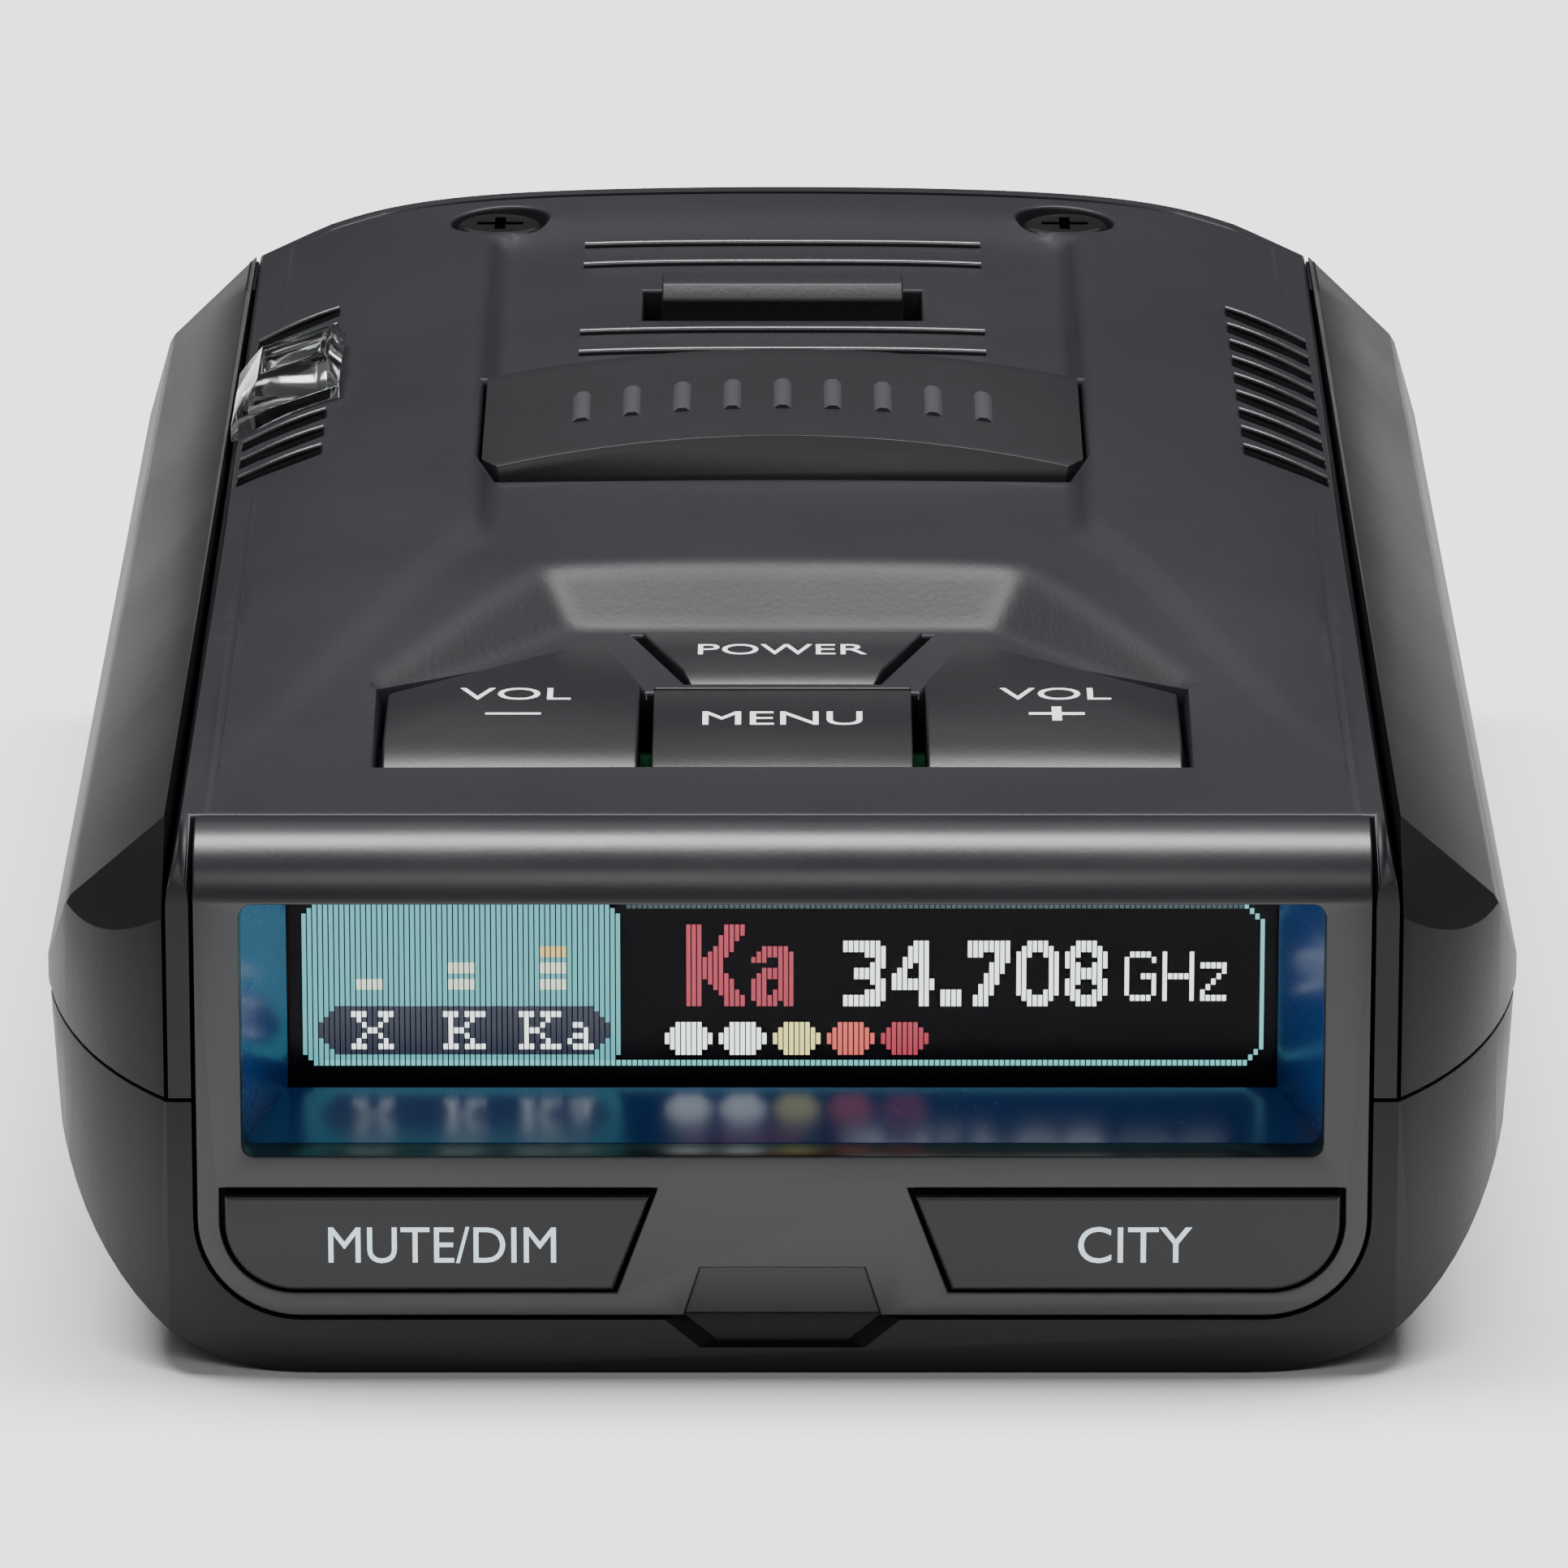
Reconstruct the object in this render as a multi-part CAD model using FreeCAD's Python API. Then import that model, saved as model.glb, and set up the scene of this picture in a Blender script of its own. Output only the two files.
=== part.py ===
"""Radar detector: a wedge-fronted plastic case, its display, buttons, mount latch and radar parts.

All sizes are in millimetres. X points right as the driver sees it, Y points from the display end to
the antenna end and Z points up. While the pieces are made, Y is zero on the display bezel's face; they
are written with Y zero at mid length and Z zero on the underside.
"""
import FreeCAD, Part
import math
import os

V = FreeCAD.Vector

# Overall sizes
body_length = 115.0        # bezel face to the tip of the antenna window
body_width = 72.0
deck_height = 27.06        # flat front deck above the underside
seam_half_width = 29.6     # deck edge, where the side panels begin
wall = 1.8
fit_gap = 0.2              # between parts that are clipped together
slide_gap = 0.35           # around the buttons and the latch
touch_gap = 0.05           # between parts that are glued or stacked
sharp_join = 2             # outlines made larger keep their corners
hidden_margin = 3.0        # how far a cutting tool reaches past what it cuts

# Case outline
parting_front = 13.9       # height of the case's parting line at the bezel
parting_side = 16.5        # and along the sides
parting_run = 9.0
bilge_centre_x = 22.5      # middle of the lower edges' large rounding
bilge_height = 12.93       # and its height, which is also its radius
bilge_top = 10.5           # height where the rounding runs into the flank
cheek_depth = 11.7
cheek_inset = 6.3
ridge_height = 22.3
ridge_inset = 1.3          # from the widest point in to the panel's ridge
ridge_ease = 0.3           # cut off each side of the ridge
nose_depth = 7.0
end_stop_length = 6.0      # of the web that closes the seam at the antenna end
brow_depth = 4.15
brow_drop = 3.06
shoulder_facet_back = 6.0
shoulder_facet_drop = 3.9

# Crowned top: the low crown fills the funnel, the high crown makes the wings
low_rise = 2.62
low_rise_far = 0.8
low_start = 8.0
low_full = 40.0
low_power = 3.0
high_rise = 4.45
high_start = 12.0
high_bow = 0.25            # share of the crown's fall that is a plain curve
high_drop = 0.26
channel_half = 15.3
channel_flare = 0.8        # sideways run for each millimetre up the channel's walls
fan_apex = 72.7
fan_tip_half = 0.7
fan_slope_x = 0.52         # sideways run of the fan's edge for each millimetre along Y
fan_flare = 1.6
panel_bevel_run = 3.7
panel_end_margin = 8.7     # from the antenna end of the case to the recess's far bevel
corner_reach = 9.0         # how far the recess's cut-off corners reach

# Button well
basin_depth = 0.11
basin_back = 35.1
basin_back_half = 10.5
basin_side = 19.9
basin_side_back = 22.2
basin_slope_run = 1.28

# Top buttons
button_front = 12.2
menu_proud = 0.3
volume_proud = 0.6
power_proud = 0.15
menu_slope = 1.7           # length of the slope that leads up to the top
volume_slope = 2.0
power_slope = 1.3
slope_sink = 0.3           # how far below the deck a button's slope starts
button_travel = 0.5
flange_thickness = 0.9
stem_radius = 1.3
stem_length = 0.75         # below the retaining feet
foot_reach = 0.9           # how far a retaining foot stands out
groove_width = 0.3
menu_half = 6.4
menu_back = 24.3
volume_gap = 0.7           # from the menu button to the volume buttons
volume_outer = 19.6
volume_corner_back = 24.0
volume_tip = (9.0, 31.6)
power_front = 26.5
power_front_half = 4.6
power_back = 34.2
power_back_half = 7.1

# Display bezel and tunnel
bezel_half = 28.3
bezel_bottom = 2.93
bezel_corner = 5.0
bezel_face = 2.0
bezel_rim = 0.75
window_half = 26.1
window_low = 11.11
window_high = 23.89
hood_depth = 8.3
hood_wall = 0.9
screen_half = 23.8
screen_low = 12.28
screen_high = 22.5
lens_thickness = 0.75
lens_margin = 1.6
panel_thickness = 1.5
notch_half = 4.0
notch_top = 5.4
notch_spread = 1.1
notch_depth = 0.35
lip_low = 1.3
lip_depth = 0.95
lip_flare = 0.9            # how much wider the lip's cut is at its face

# Face buttons
face_board_margin = 2.0    # from the switches to the ends of their board
face_button_top = 9.24
face_button_low = 4.4
face_button_outer = 26.95
face_button_inner = 6.4
face_button_slant = 1.8
face_button_corner = 3.4
face_button_proud = 0.45
face_button_travel = 0.4

# Mount release: plate, latch, spring and retainer
plate_front = 53.75
plate_depth = 15.55
plate_half = 15.75
plate_top = 32.35
plate_end_drop = 1.6
carrier_half = 12.75        # of the latch's carrier under the plate
plate_rise = 0.7           # from the top's front edge to its back edge
retainer_reach = 5.25      # of the retainer in front of the plate
plate_lean = 1.0           # how far the front face leans back
plate_nip = 0.95           # cut off each front corner
plate_nip_run = 1.9
latch_half = 6.58
latch_front = 83.2
latch_depth = 5.6
latch_height = 32.0
latch_chamfer = 0.75
latch_flat = 2.2
latch_side_gap = 1.05
latch_tongue_half = 8.2
latch_plate_level = 27.0
latch_plate_thickness = 1.2
latch_travel = 1.5
retainer_level = 20.9
retainer_thickness = 1.2
spring_radius = 1.9
spring_wire = 0.5
spring_turns = 5
spring_x = 5.5
spring_y = 74.5
rib_half = 11.0
rib_width = 0.4
rib_height = 0.25
rib_places = (76.45, 80.35, 93.65, 97.55)

# Roof of the hollow case
roof_flat = 25.26
roof_crown = 28.2
roof_start = 42.0

# Speaker slots and light pipe
slot_first = 60.3
slot_pitch = 3.36
slot_count = 9
slot_width = 1.15
slot_inner = 24.36
slot_outer = 28.8
slot_floor = 25.6
pipe_slots = (3, 4, 5)
pipe_inner = 23.7
pipe_outer = 29.5
pipe_front = 69.3
pipe_depth = 10.3
pipe_height = 1.75
pipe_fall = 2.0
pipe_facet_run = 3.4       # of the bright leaning facet
pipe_facet_drop = 1.0
pipe_pocket_depth = 0.5

# Circuit boards
board_level = 13.0
board_thickness = 1.6
board_half = 27.0
board_front = 11.5
small_board_thickness = 1.2
switch_body = 4.0
switch_height = 1.5
plunger_radius = 0.9
plunger_height = 0.4
press_gap = 0.1            # left above a switch's plunger at full press

# Speaker and laser sensors
speaker_x = (13.2, 27.2)
speaker_y = (70.0, 91.5)
speaker_low = 19.7
speaker_high = 24.3
gasket_thickness = 0.5
chamber_wall = 1.2
frame_wall = 1.2
cone_wall = 0.4
magnet_radius = 5.2
magnet_height = 2.4

# Radar horn and antenna end
horn_half = 13.5
horn_throat_half = 5.0
horn_low = 2.6
horn_wall = 1.2
horn_length = 34.0
guide_length = 16.0
window_opening_half = 25.5
window_opening_low = 3.4
window_opening_high = 23.8
window_round = 4.5
window_wall = 1.5
laser_x = 15.0
laser_z = 16.6
laser_radius = 4.6

# Screws and sockets
case_screw_x = 24.4
case_screw_front = 18.0
case_screw_back_margin = 12.0
post_radius = 3.0
boss_radius = 2.6
screw_radius = 1.1
screw_clearance = 0.2
head_radius = 2.15
head_height = 1.6
head_recess = 0.9
deck_screw_x = 15.83
deck_screw_clear = 4.25     # from the end wall to the deck screws
deck_head_radius = 2.5
socket_level = 9.3
socket_body = 7.4
power_socket_y = 88.0
power_bore = 2.0
audio_socket_y = 77.5
audio_bore = 1.8
usb_socket_y = 66.0
usb_width = 7.6
usb_height = 2.9
usb_length = 6.0
label_half = 20.0
label_front = 36.0
label_back = 78.0
label_thickness = 0.25

case_end = body_length - nose_depth
half_width = body_width / 2.0
floor_thickness = wall
board_top = board_level + board_thickness
volume_inner = menu_half + volume_gap
deck_screw_y = case_end - wall - deck_screw_clear
socket_face = half_width - 2.0
socket_back = half_width - 14.0
socket_shoulder = half_width - 6.0
socket_hole_start = half_width - 5.5
case_screw_back = case_end - case_screw_back_margin
front_most = -face_button_proud
row_shift = -(body_length + front_most) / 2.0


# --- Small shape helpers -------------------------------------------------------------------------

def box(x0, x1, y0, y1, z0, z1):
    """A block between two corners."""
    return Part.makeBox(x1 - x0, y1 - y0, z1 - z0, V(x0, y0, z0))


def wire(points):
    """A closed straight-sided wire."""
    return Part.makePolygon(points + [points[0]])


def plan(points, z0, z1):
    """A solid with the plan outline (x, y), between two heights."""
    return Part.Face(wire([V(x, y, z0) for x, y in points])).extrude(V(0, 0, z1 - z0))


def front(points, y0, y1):
    """A solid with the front outline (x, z), between two depths."""
    return Part.Face(wire([V(x, y0, z) for x, z in points])).extrude(V(0, y1 - y0, 0))


def side(points, x0, x1):
    """A solid with the side outline (y, z), between two X values."""
    return Part.Face(wire([V(x0, y, z) for y, z in points])).extrude(V(x1 - x0, 0, 0))


def taper(low_points, low, high_points, high):
    """A solid whose plan outline changes evenly from one height to another."""
    wires = [wire([V(x, y, z) for x, y in points]) for points, z in ((low_points, low), (high_points, high))]
    return Part.makeLoft(wires, True, True)


def tunnel(half0, low0, high0, y0, half1, low1, high1, y1):
    """A solid rectangle that narrows evenly along Y."""
    ends = ((half0, low0, high0, y0), (half1, low1, high1, y1))
    wires = [wire([V(-h, y, a), V(h, y, a), V(h, y, b), V(-h, y, b)]) for h, a, b, y in ends]
    return Part.makeLoft(wires, True, True)


def rod(radius, length, base, axis):
    """A round bar."""
    return Part.makeCylinder(radius, length, base, axis)


def upright(radius, x, y, z0, z1):
    """A round bar that stands along Z."""
    return rod(radius, z1 - z0, V(x, y, z0), V(0, 0, 1))


def fuse(shapes):
    """One solid from overlapping shapes."""
    result = shapes[0]
    for shape in shapes[1:]:
        result = result.fuse(shape)
    return result.removeSplitter()


def cut(shape, tools):
    """The shape without its tools."""
    for tool in tools:
        shape = shape.cut(tool)
    return shape


def mirror_x(shape):
    """The same shape on the other side of the body."""
    return shape.mirror(V(0, 0, 0), V(1, 0, 0))


def both_sides(shape):
    """The shape and its mirror image."""
    return [shape, mirror_x(shape)]


def group(shapes):
    """Separate solids kept in one node."""
    solids = []
    for shape in shapes:
        solids.extend(shape.Solids)
    return Part.Compound(solids)


def edges_where(shape, test):
    """The edges whose middle passes a test."""
    return [edge for edge in shape.Edges if test(edge.CenterOfMass)]


# --- Crowned top surface -------------------------------------------------------------------------

def smooth_step(value, start, end):
    """0 before start, 1 after end and an even blend between."""
    share = min(max((value - start) / (end - start), 0.0), 1.0)
    return share * share * (3.0 - 2.0 * share)


def low_crown(x, y):
    """Height of the funnel floor and the mount panel."""
    rise = low_rise * smooth_step(y, low_start, low_full)
    rise += low_rise_far * smooth_step(y, low_full, case_end)
    return deck_height + rise * (1.0 - abs(x / seam_half_width) ** low_power)


def high_crown(x, y):
    """Height of the wings beside the funnel."""
    share = max(y - high_start, 0.0) / (case_end - high_start)
    rise = high_rise * (1.0 - (1.0 - share) ** 4)
    across = x / seam_half_width
    return deck_height - high_drop + rise * (1.0 - high_bow * across ** 2 - (1.0 - high_bow) * across ** 6)


def crown_solid(height, y0, y1, base, rows, columns):
    """A solid from a flat base up to a crowned surface."""
    margin = 1.0
    reach = seam_half_width + margin
    grid = []
    for column in range(columns + 1):
        x = reach * (2.0 * column / columns - 1.0)
        line = [y0 - margin + (y1 - y0 + 2.0 * margin) * row / rows for row in range(rows + 1)]
        grid.append([V(x, y, height(x, y)) for y in line])
    surface = Part.BSplineSurface()
    surface.interpolate(grid)
    tall = surface.toShape().extrude(V(0, 0, -deck_height))
    return tall.common(box(-seam_half_width, seam_half_width, y0, y1, base, deck_height + 10.0))


def funnel_cutter():
    """The space between the wings: a fan that narrows into a channel."""
    low, high = deck_height - 8.0, deck_height + 8.0
    middle = deck_height + low_rise
    spread_low = (low - middle) * channel_flare
    spread_high = (high - middle) * channel_flare
    end = case_end - panel_end_margin
    outline = [(-channel_half - spread_low, low), (channel_half + spread_low, low),
               (channel_half + spread_high, high), (-channel_half - spread_high, high)]
    channel = front(outline, low_full, end + 2.0 * panel_bevel_run)
    bevel_low = deck_height + low_rise + low_rise_far - 1.0
    bevel_back = end + panel_bevel_run * 3.0
    bevel = side([(end - panel_bevel_run, bevel_low), (bevel_back, bevel_low), (bevel_back, bevel_low + 4.0)],
                 -half_width, half_width)
    channel = channel.cut(bevel)
    inner = channel_half - corner_reach / 2.0
    outer = channel_half + corner_reach
    far = end + corner_reach
    corner = plan([(inner, end + panel_bevel_run), (outer, end + panel_bevel_run - (outer - inner)),
                   (outer, far), (inner, far)], low, high)
    channel = cut(channel, both_sides(corner))

    def fan(level):
        apex = fan_apex + (level - middle) * fan_flare / fan_slope_x
        wide = fan_tip_half + (apex - hidden_margin) * fan_slope_x
        return [(-fan_tip_half, apex), (-wide, hidden_margin), (wide, hidden_margin), (fan_tip_half, apex)]

    return fuse([channel, taper(fan(low), low, fan(high), high)])


def basin_cutter():
    """The sloped-sided well that the top buttons stand in."""
    low = deck_height - basin_depth
    high = low + 6.0
    run = (high - low) * basin_slope_run
    slant = math.atan2(basin_back - basin_side_back, basin_side - basin_back_half)
    corner_run = run * math.tan(slant / 2.0)
    side_run = run / math.cos(slant)
    start = button_front + 0.5
    points = [(-basin_side, start), (basin_side, start), (basin_side, basin_side_back),
              (basin_back_half, basin_back), (-basin_back_half, basin_back), (-basin_side, basin_side_back)]
    wide = basin_back_half + corner_run
    top = [(-basin_side, start), (basin_side, start), (basin_side, basin_side_back + side_run),
           (wide, basin_back + run), (-wide, basin_back + run), (-basin_side, basin_side_back + side_run)]
    return taper(points, low, top, high)


def top_skin():
    """The crowned top as a solid block, before it is hollowed."""
    base = parting_front + fit_gap
    low = crown_solid(low_crown, 0.0, case_end, base, 24, 16)
    high = crown_solid(high_crown, high_start, case_end, base, 16, 16)
    wings = high.cut(funnel_cutter())
    skin = low
    for wing in wings.Solids:
        skin = skin.fuse(wing)
    return skin.removeSplitter().cut(basin_cutter())


def roof_height(x):
    """Height of the hollow's arched ceiling."""
    across = abs(x) / (seam_half_width - wall)
    return roof_flat + (roof_crown - roof_flat) * (1.0 - across ** low_power)


def roof_profile(low):
    """Front outline of the hollow under the crowned roof."""
    half = seam_half_width - wall
    steps = 12
    stations = [half * (2.0 * step / steps - 1.0) for step in range(steps + 1)]
    return [(-half, low)] + [(x, roof_height(x)) for x in stations] + [(half, low)]


def brow_cutter():
    """What the rounded brow takes off the top front edge."""
    high = deck_height
    centre = V(-half_width, brow_depth, high - brow_drop)
    mid_angle = math.radians(45.0)
    middle = centre + V(0, -brow_depth * math.cos(mid_angle), brow_drop * math.sin(mid_angle))
    start = V(-half_width, 0.0, high - brow_drop)
    end = V(-half_width, brow_depth, high)
    arc = Part.Arc(start, middle, end).toShape()
    up = V(-half_width, brow_depth, high + hidden_margin)
    out = V(-half_width, -hidden_margin, high + hidden_margin)
    down = V(-half_width, -hidden_margin, high - brow_drop)
    lines = [Part.makeLine(end, up), Part.makeLine(up, out), Part.makeLine(out, down),
             Part.makeLine(down, start)]
    return Part.Face(Part.Wire([arc] + lines)).extrude(V(body_width, 0, 0))


# --- Button outlines -----------------------------------------------------------------------------

def menu_outline():
    """Plan outline of the menu button."""
    return [(-menu_half, button_front), (menu_half, button_front),
            (menu_half, menu_back), (-menu_half, menu_back)]


def volume_outline():
    """Plan outline of the right-hand volume button."""
    return [(volume_inner, button_front), (volume_outer, button_front), (volume_outer, basin_side_back),
            volume_tip, (volume_inner, volume_corner_back)]


def power_outline():
    """Plan outline of the power button."""
    return [(-power_front_half, power_front), (power_front_half, power_front),
            (power_back_half, power_back), (-power_back_half, power_back)]


def plate_outline():
    """Plan outline of the release plate, with its nipped front corners."""
    back = plate_front + plate_depth
    nipped = plate_half - plate_nip
    side_start = plate_front + plate_nip_run
    return [(-nipped, plate_front), (nipped, plate_front), (plate_half, side_start), (plate_half, back),
            (-plate_half, back), (-plate_half, side_start)]


def plan_offset(points, distance, z0, z1):
    """A plan outline made larger all round, between two heights."""
    face = Part.Face(wire([V(x, y, z0) for x, y in points])).makeOffset2D(distance, sharp_join)
    return face.extrude(V(0, 0, z1 - z0))


def face_button_wire(y):
    """Front outline of the right-hand face button, with its large lower corner."""
    inner_low = face_button_inner + face_button_slant
    outer = face_button_outer
    low = face_button_low
    corner = face_button_corner
    bend = corner * (1.0 - math.sqrt(0.5))
    a = V(face_button_inner, y, face_button_top)
    b = V(inner_low, y, low)
    c = V(outer - corner, y, low)
    d = V(outer, y, low + corner)
    e = V(outer, y, face_button_top)
    arc = Part.Arc(c, V(outer - bend, y, low + bend), d).toShape()
    lines = [Part.makeLine(a, b), Part.makeLine(b, c), arc, Part.makeLine(d, e), Part.makeLine(e, a)]
    return Part.Wire(lines)


def face_button_block(distance, y0, y1):
    """The right-hand face button's outline, made larger by a distance, between two depths."""
    face = Part.Face(face_button_wire(y0))
    if distance:
        face = face.makeOffset2D(distance, sharp_join)
    return face.extrude(V(0, y1 - y0, 0))


# --- Case ----------------------------------------------------------------------------------------

def case_screws():
    """Places of the screws that close the case."""
    return [(x, y) for x in (-case_screw_x, case_screw_x) for y in (case_screw_front, case_screw_back)]


def deck_screws():
    """Places of the two screws on the deck."""
    return [(-deck_screw_x, deck_screw_y), (deck_screw_x, deck_screw_y)]


def cheek_block(inset, z0, z1):
    """A solid with the case's plan outline, rounded at the display end."""
    reach = cheek_inset
    radius = (reach * reach + cheek_depth * cheek_depth) / (2.0 * reach)
    start = half_width - reach
    centre_x = half_width - radius
    angle = math.asin(cheek_depth / radius) / 2.0
    size = radius - inset
    front_y = cheek_depth - size * math.sin(2.0 * angle)
    if inset:
        front_y = inset
        start = centre_x + math.sqrt(size * size - (cheek_depth - inset) ** 2)
    middle = V(centre_x + size * math.cos(angle), cheek_depth - size * math.sin(angle), z0)
    corner = V(start, front_y, z0)
    tangent = V(half_width - inset, cheek_depth, z0)
    far = V(half_width - inset, case_end - inset, z0)
    arc = Part.Arc(corner, middle, tangent).toShape()
    inner_far = V(0, case_end - inset, z0)
    inner_front = V(0, front_y, z0)
    lines = [Part.makeLine(tangent, far), Part.makeLine(far, inner_far),
             Part.makeLine(inner_far, inner_front)]
    face = Part.Face(Part.Wire([arc] + lines + [Part.makeLine(inner_front, corner)]))
    right = face.extrude(V(0, 0, z1 - z0))
    return fuse(both_sides(right))


def parting_block(z0, gap):
    """Everything below the case's parting line, down to a height."""
    points = [(-hidden_margin, z0), (body_length, z0), (body_length, parting_side + gap),
              (parting_run, parting_side + gap), (0.0, parting_front + gap),
              (-hidden_margin, parting_front + gap)]
    return side(points, -half_width - hidden_margin, half_width + hidden_margin)


def tub_section(inset):
    """Front outline of the lower case, with its large lower roundings, as an extruded block."""
    radius = bilge_height - inset
    fall = bilge_height - bilge_top
    end_angle = math.asin(fall / bilge_height)
    half_angle = (math.pi / 2.0 + end_angle) / 2.0
    start = V(bilge_centre_x, 0, inset)
    knee = V(bilge_centre_x + radius * math.cos(half_angle), 0, bilge_height - radius * math.sin(half_angle))
    bilge = V(bilge_centre_x + radius * math.cos(end_angle), 0, bilge_height - radius * math.sin(end_angle))
    top = V(half_width - inset, 0, parting_side + hidden_margin)
    arc = Part.Arc(start, knee, bilge).toShape()
    mirrored = arc.mirror(V(0, 0, 0), V(1, 0, 0))
    left_top = V(-top.x, 0, top.z)
    left_bilge = V(-bilge.x, 0, bilge.z)
    lines = [Part.makeLine(bilge, top), Part.makeLine(top, left_top), Part.makeLine(left_top, left_bilge)]
    base = Part.makeLine(V(-start.x, 0, inset), start)
    outline = Part.Wire(Part.__sortEdges__([arc, mirrored, base] + lines))
    return Part.Face(outline).extrude(V(0, body_length, 0))


def bezel_outline(distance, y0, y1):
    """The bezel's front outline, made larger by a distance, between two depths."""
    half = bezel_half + distance
    low = bezel_bottom - distance
    corner = bezel_corner + distance
    block = box(-half, half, y0, y1, low, deck_height + distance)
    rounded = edges_where(block, lambda p: abs(abs(p.x) - half) < 0.01 and abs(p.z - low) < 0.01)
    return block.makeFillet(corner, rounded)


def bottom_housing():
    """Lower case: a tub with screw posts, sockets' holes and the slot for the face button board."""
    outer = tub_section(0.0).common(cheek_block(0.0, 0.0, parting_side + 1.0))
    inner = tub_section(wall).common(cheek_block(wall, 0.0, parting_side + 2.0))
    shell = outer.common(parting_block(-1.0, 0.0)).cut(inner)
    middle = box(-seam_half_width - fit_gap, seam_half_width + fit_gap, -1.0, body_length,
                 parting_front, parting_side + 2.0)
    shell = cut(shell, [middle, bezel_outline(fit_gap, -1.0, brow_depth + fit_gap)])
    posts = [upright(post_radius, x, y, floor_thickness - touch_gap, board_level) for x, y in case_screws()]
    ribs = []
    rib_front = brow_depth + fit_gap + 1.0
    for y0 in (board_slot_y() - 1.0 - touch_gap, board_slot_y() + small_board_thickness + touch_gap):
        ribs.append(box(-18.0, 18.0, max(y0, rib_front), y0 + 1.0, floor_thickness - touch_gap, 3.4))
    shell = fuse([shell] + posts + ribs)
    tools = []
    for x, y in case_screws():
        tools.append(upright(head_radius + fit_gap, x, y, -1.0, head_recess + head_height))
        tools.append(upright(screw_radius + screw_clearance, x, y, 0.0, board_level + 1.0))
    for bore, y in ((power_bore, power_socket_y), (audio_bore, audio_socket_y)):
        tools.append(rod(socket_nose(bore) + fit_gap, 9.0, V(socket_hole_start, y, socket_level), V(1, 0, 0)))
    half = usb_width / 2.0 + fit_gap
    usb_z = usb_level()
    tools.append(box(socket_hole_start, half_width + 3.5, usb_socket_y - half, usb_socket_y + half,
                     usb_z - fit_gap,
                     usb_z + usb_height + fit_gap))
    tools.append(box(-window_opening_half, window_opening_half, case_end - 4.0, body_length,
                     window_opening_low, parting_side))
    tools.append(box(-label_half, label_half, label_front, label_back, -1.0, label_thickness + touch_gap))
    tools.append(lip_cutter())
    return cut(shell, tools)


def lip_cutter():
    """The dip in the tub's front lip below the bezel's notch, wider at its face than at its back."""
    wires = []
    for y, flare in ((-lip_depth, 2.0 * lip_flare), (lip_depth, 0.0)):
        high = notch_half + notch_spread + flare
        low = high - 2.0
        top = bezel_bottom + touch_gap
        points = [(-high, top), (high, top), (low, lip_low), (-low, lip_low)]
        wires.append(wire([V(x, y, z) for x, z in points]))
    return Part.makeLoft(wires, True, True)


def top_housing():
    """Upper case: the crowned deck with its windows, bosses, speaker chamber and board rails."""
    skin = top_skin().cut(brow_cutter())
    hollow_front = brow_depth + fit_gap + 1.4
    low = parting_front - 1.0
    inner = seam_half_width - wall
    hollow = box(-inner, inner, hollow_front, roof_start + 1.0, low, roof_flat)
    arch = front(roof_profile(low), roof_start, case_end - wall)
    shell = cut(skin, [hollow, arch, bezel_outline(fit_gap, -1.0, brow_depth + fit_gap)])
    end_wall = box(-window_opening_half, window_opening_half, case_end - wall - 1.0, case_end + 1.0,
                   parting_front - 1.0, window_opening_high)
    behind_bezel = bezel_half - bezel_rim
    front_wall = box(-behind_bezel, behind_bezel, brow_depth, hollow_front + 1.0, low, roof_flat)
    shell = cut(shell, [end_wall, front_wall])
    shell = fuse([shell] + roof_fittings())
    tools = roof_windows()
    return cut(shell, tools)


def roof_fittings():
    """Bosses, chamber walls and rails that hang from the roof."""
    parts = []
    for x, y in case_screws():
        parts.append(upright(boss_radius, x, y, board_top, roof_flat + 0.3))
    for x, y in deck_screws():
        parts.append(upright(boss_radius, x, y, retainer_level, roof_height(x) + 0.4))
    for x in (-spring_x - 2.0, spring_x + 2.0):
        parts.append(upright(1.6, x, retainer_front() + 1.8, retainer_level, roof_height(x) + 0.4))
    x0, x1 = speaker_x
    y0, y1 = speaker_y
    ring = box(x0, x1, y0, y1, speaker_high + gasket_thickness, roof_flat + 0.6)
    hole = box(x0 + chamber_wall, x1 - chamber_wall, y0 + chamber_wall, y1 - chamber_wall, 0.0, roof_crown)
    parts.append(ring.cut(hole))
    rail_x = top_board_half()
    rail = box(rail_x, rail_x + 1.1, button_front + 1.8, 32.0, top_board_low() - 1.2, roof_flat + 0.2)
    ledge = box(rail_x - 1.2, rail_x + 1.1, button_front + 1.8, 32.0, top_board_low() - 1.2, top_board_low())
    parts.extend(both_sides(rail.fuse(ledge)))
    inner = seam_half_width - wall
    parts.append(box(-inner - 0.2, -inner + 1.2, pipe_front, pipe_front + pipe_depth,
                     laser_board_low() - 1.4, laser_board_low()))
    return parts


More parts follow.
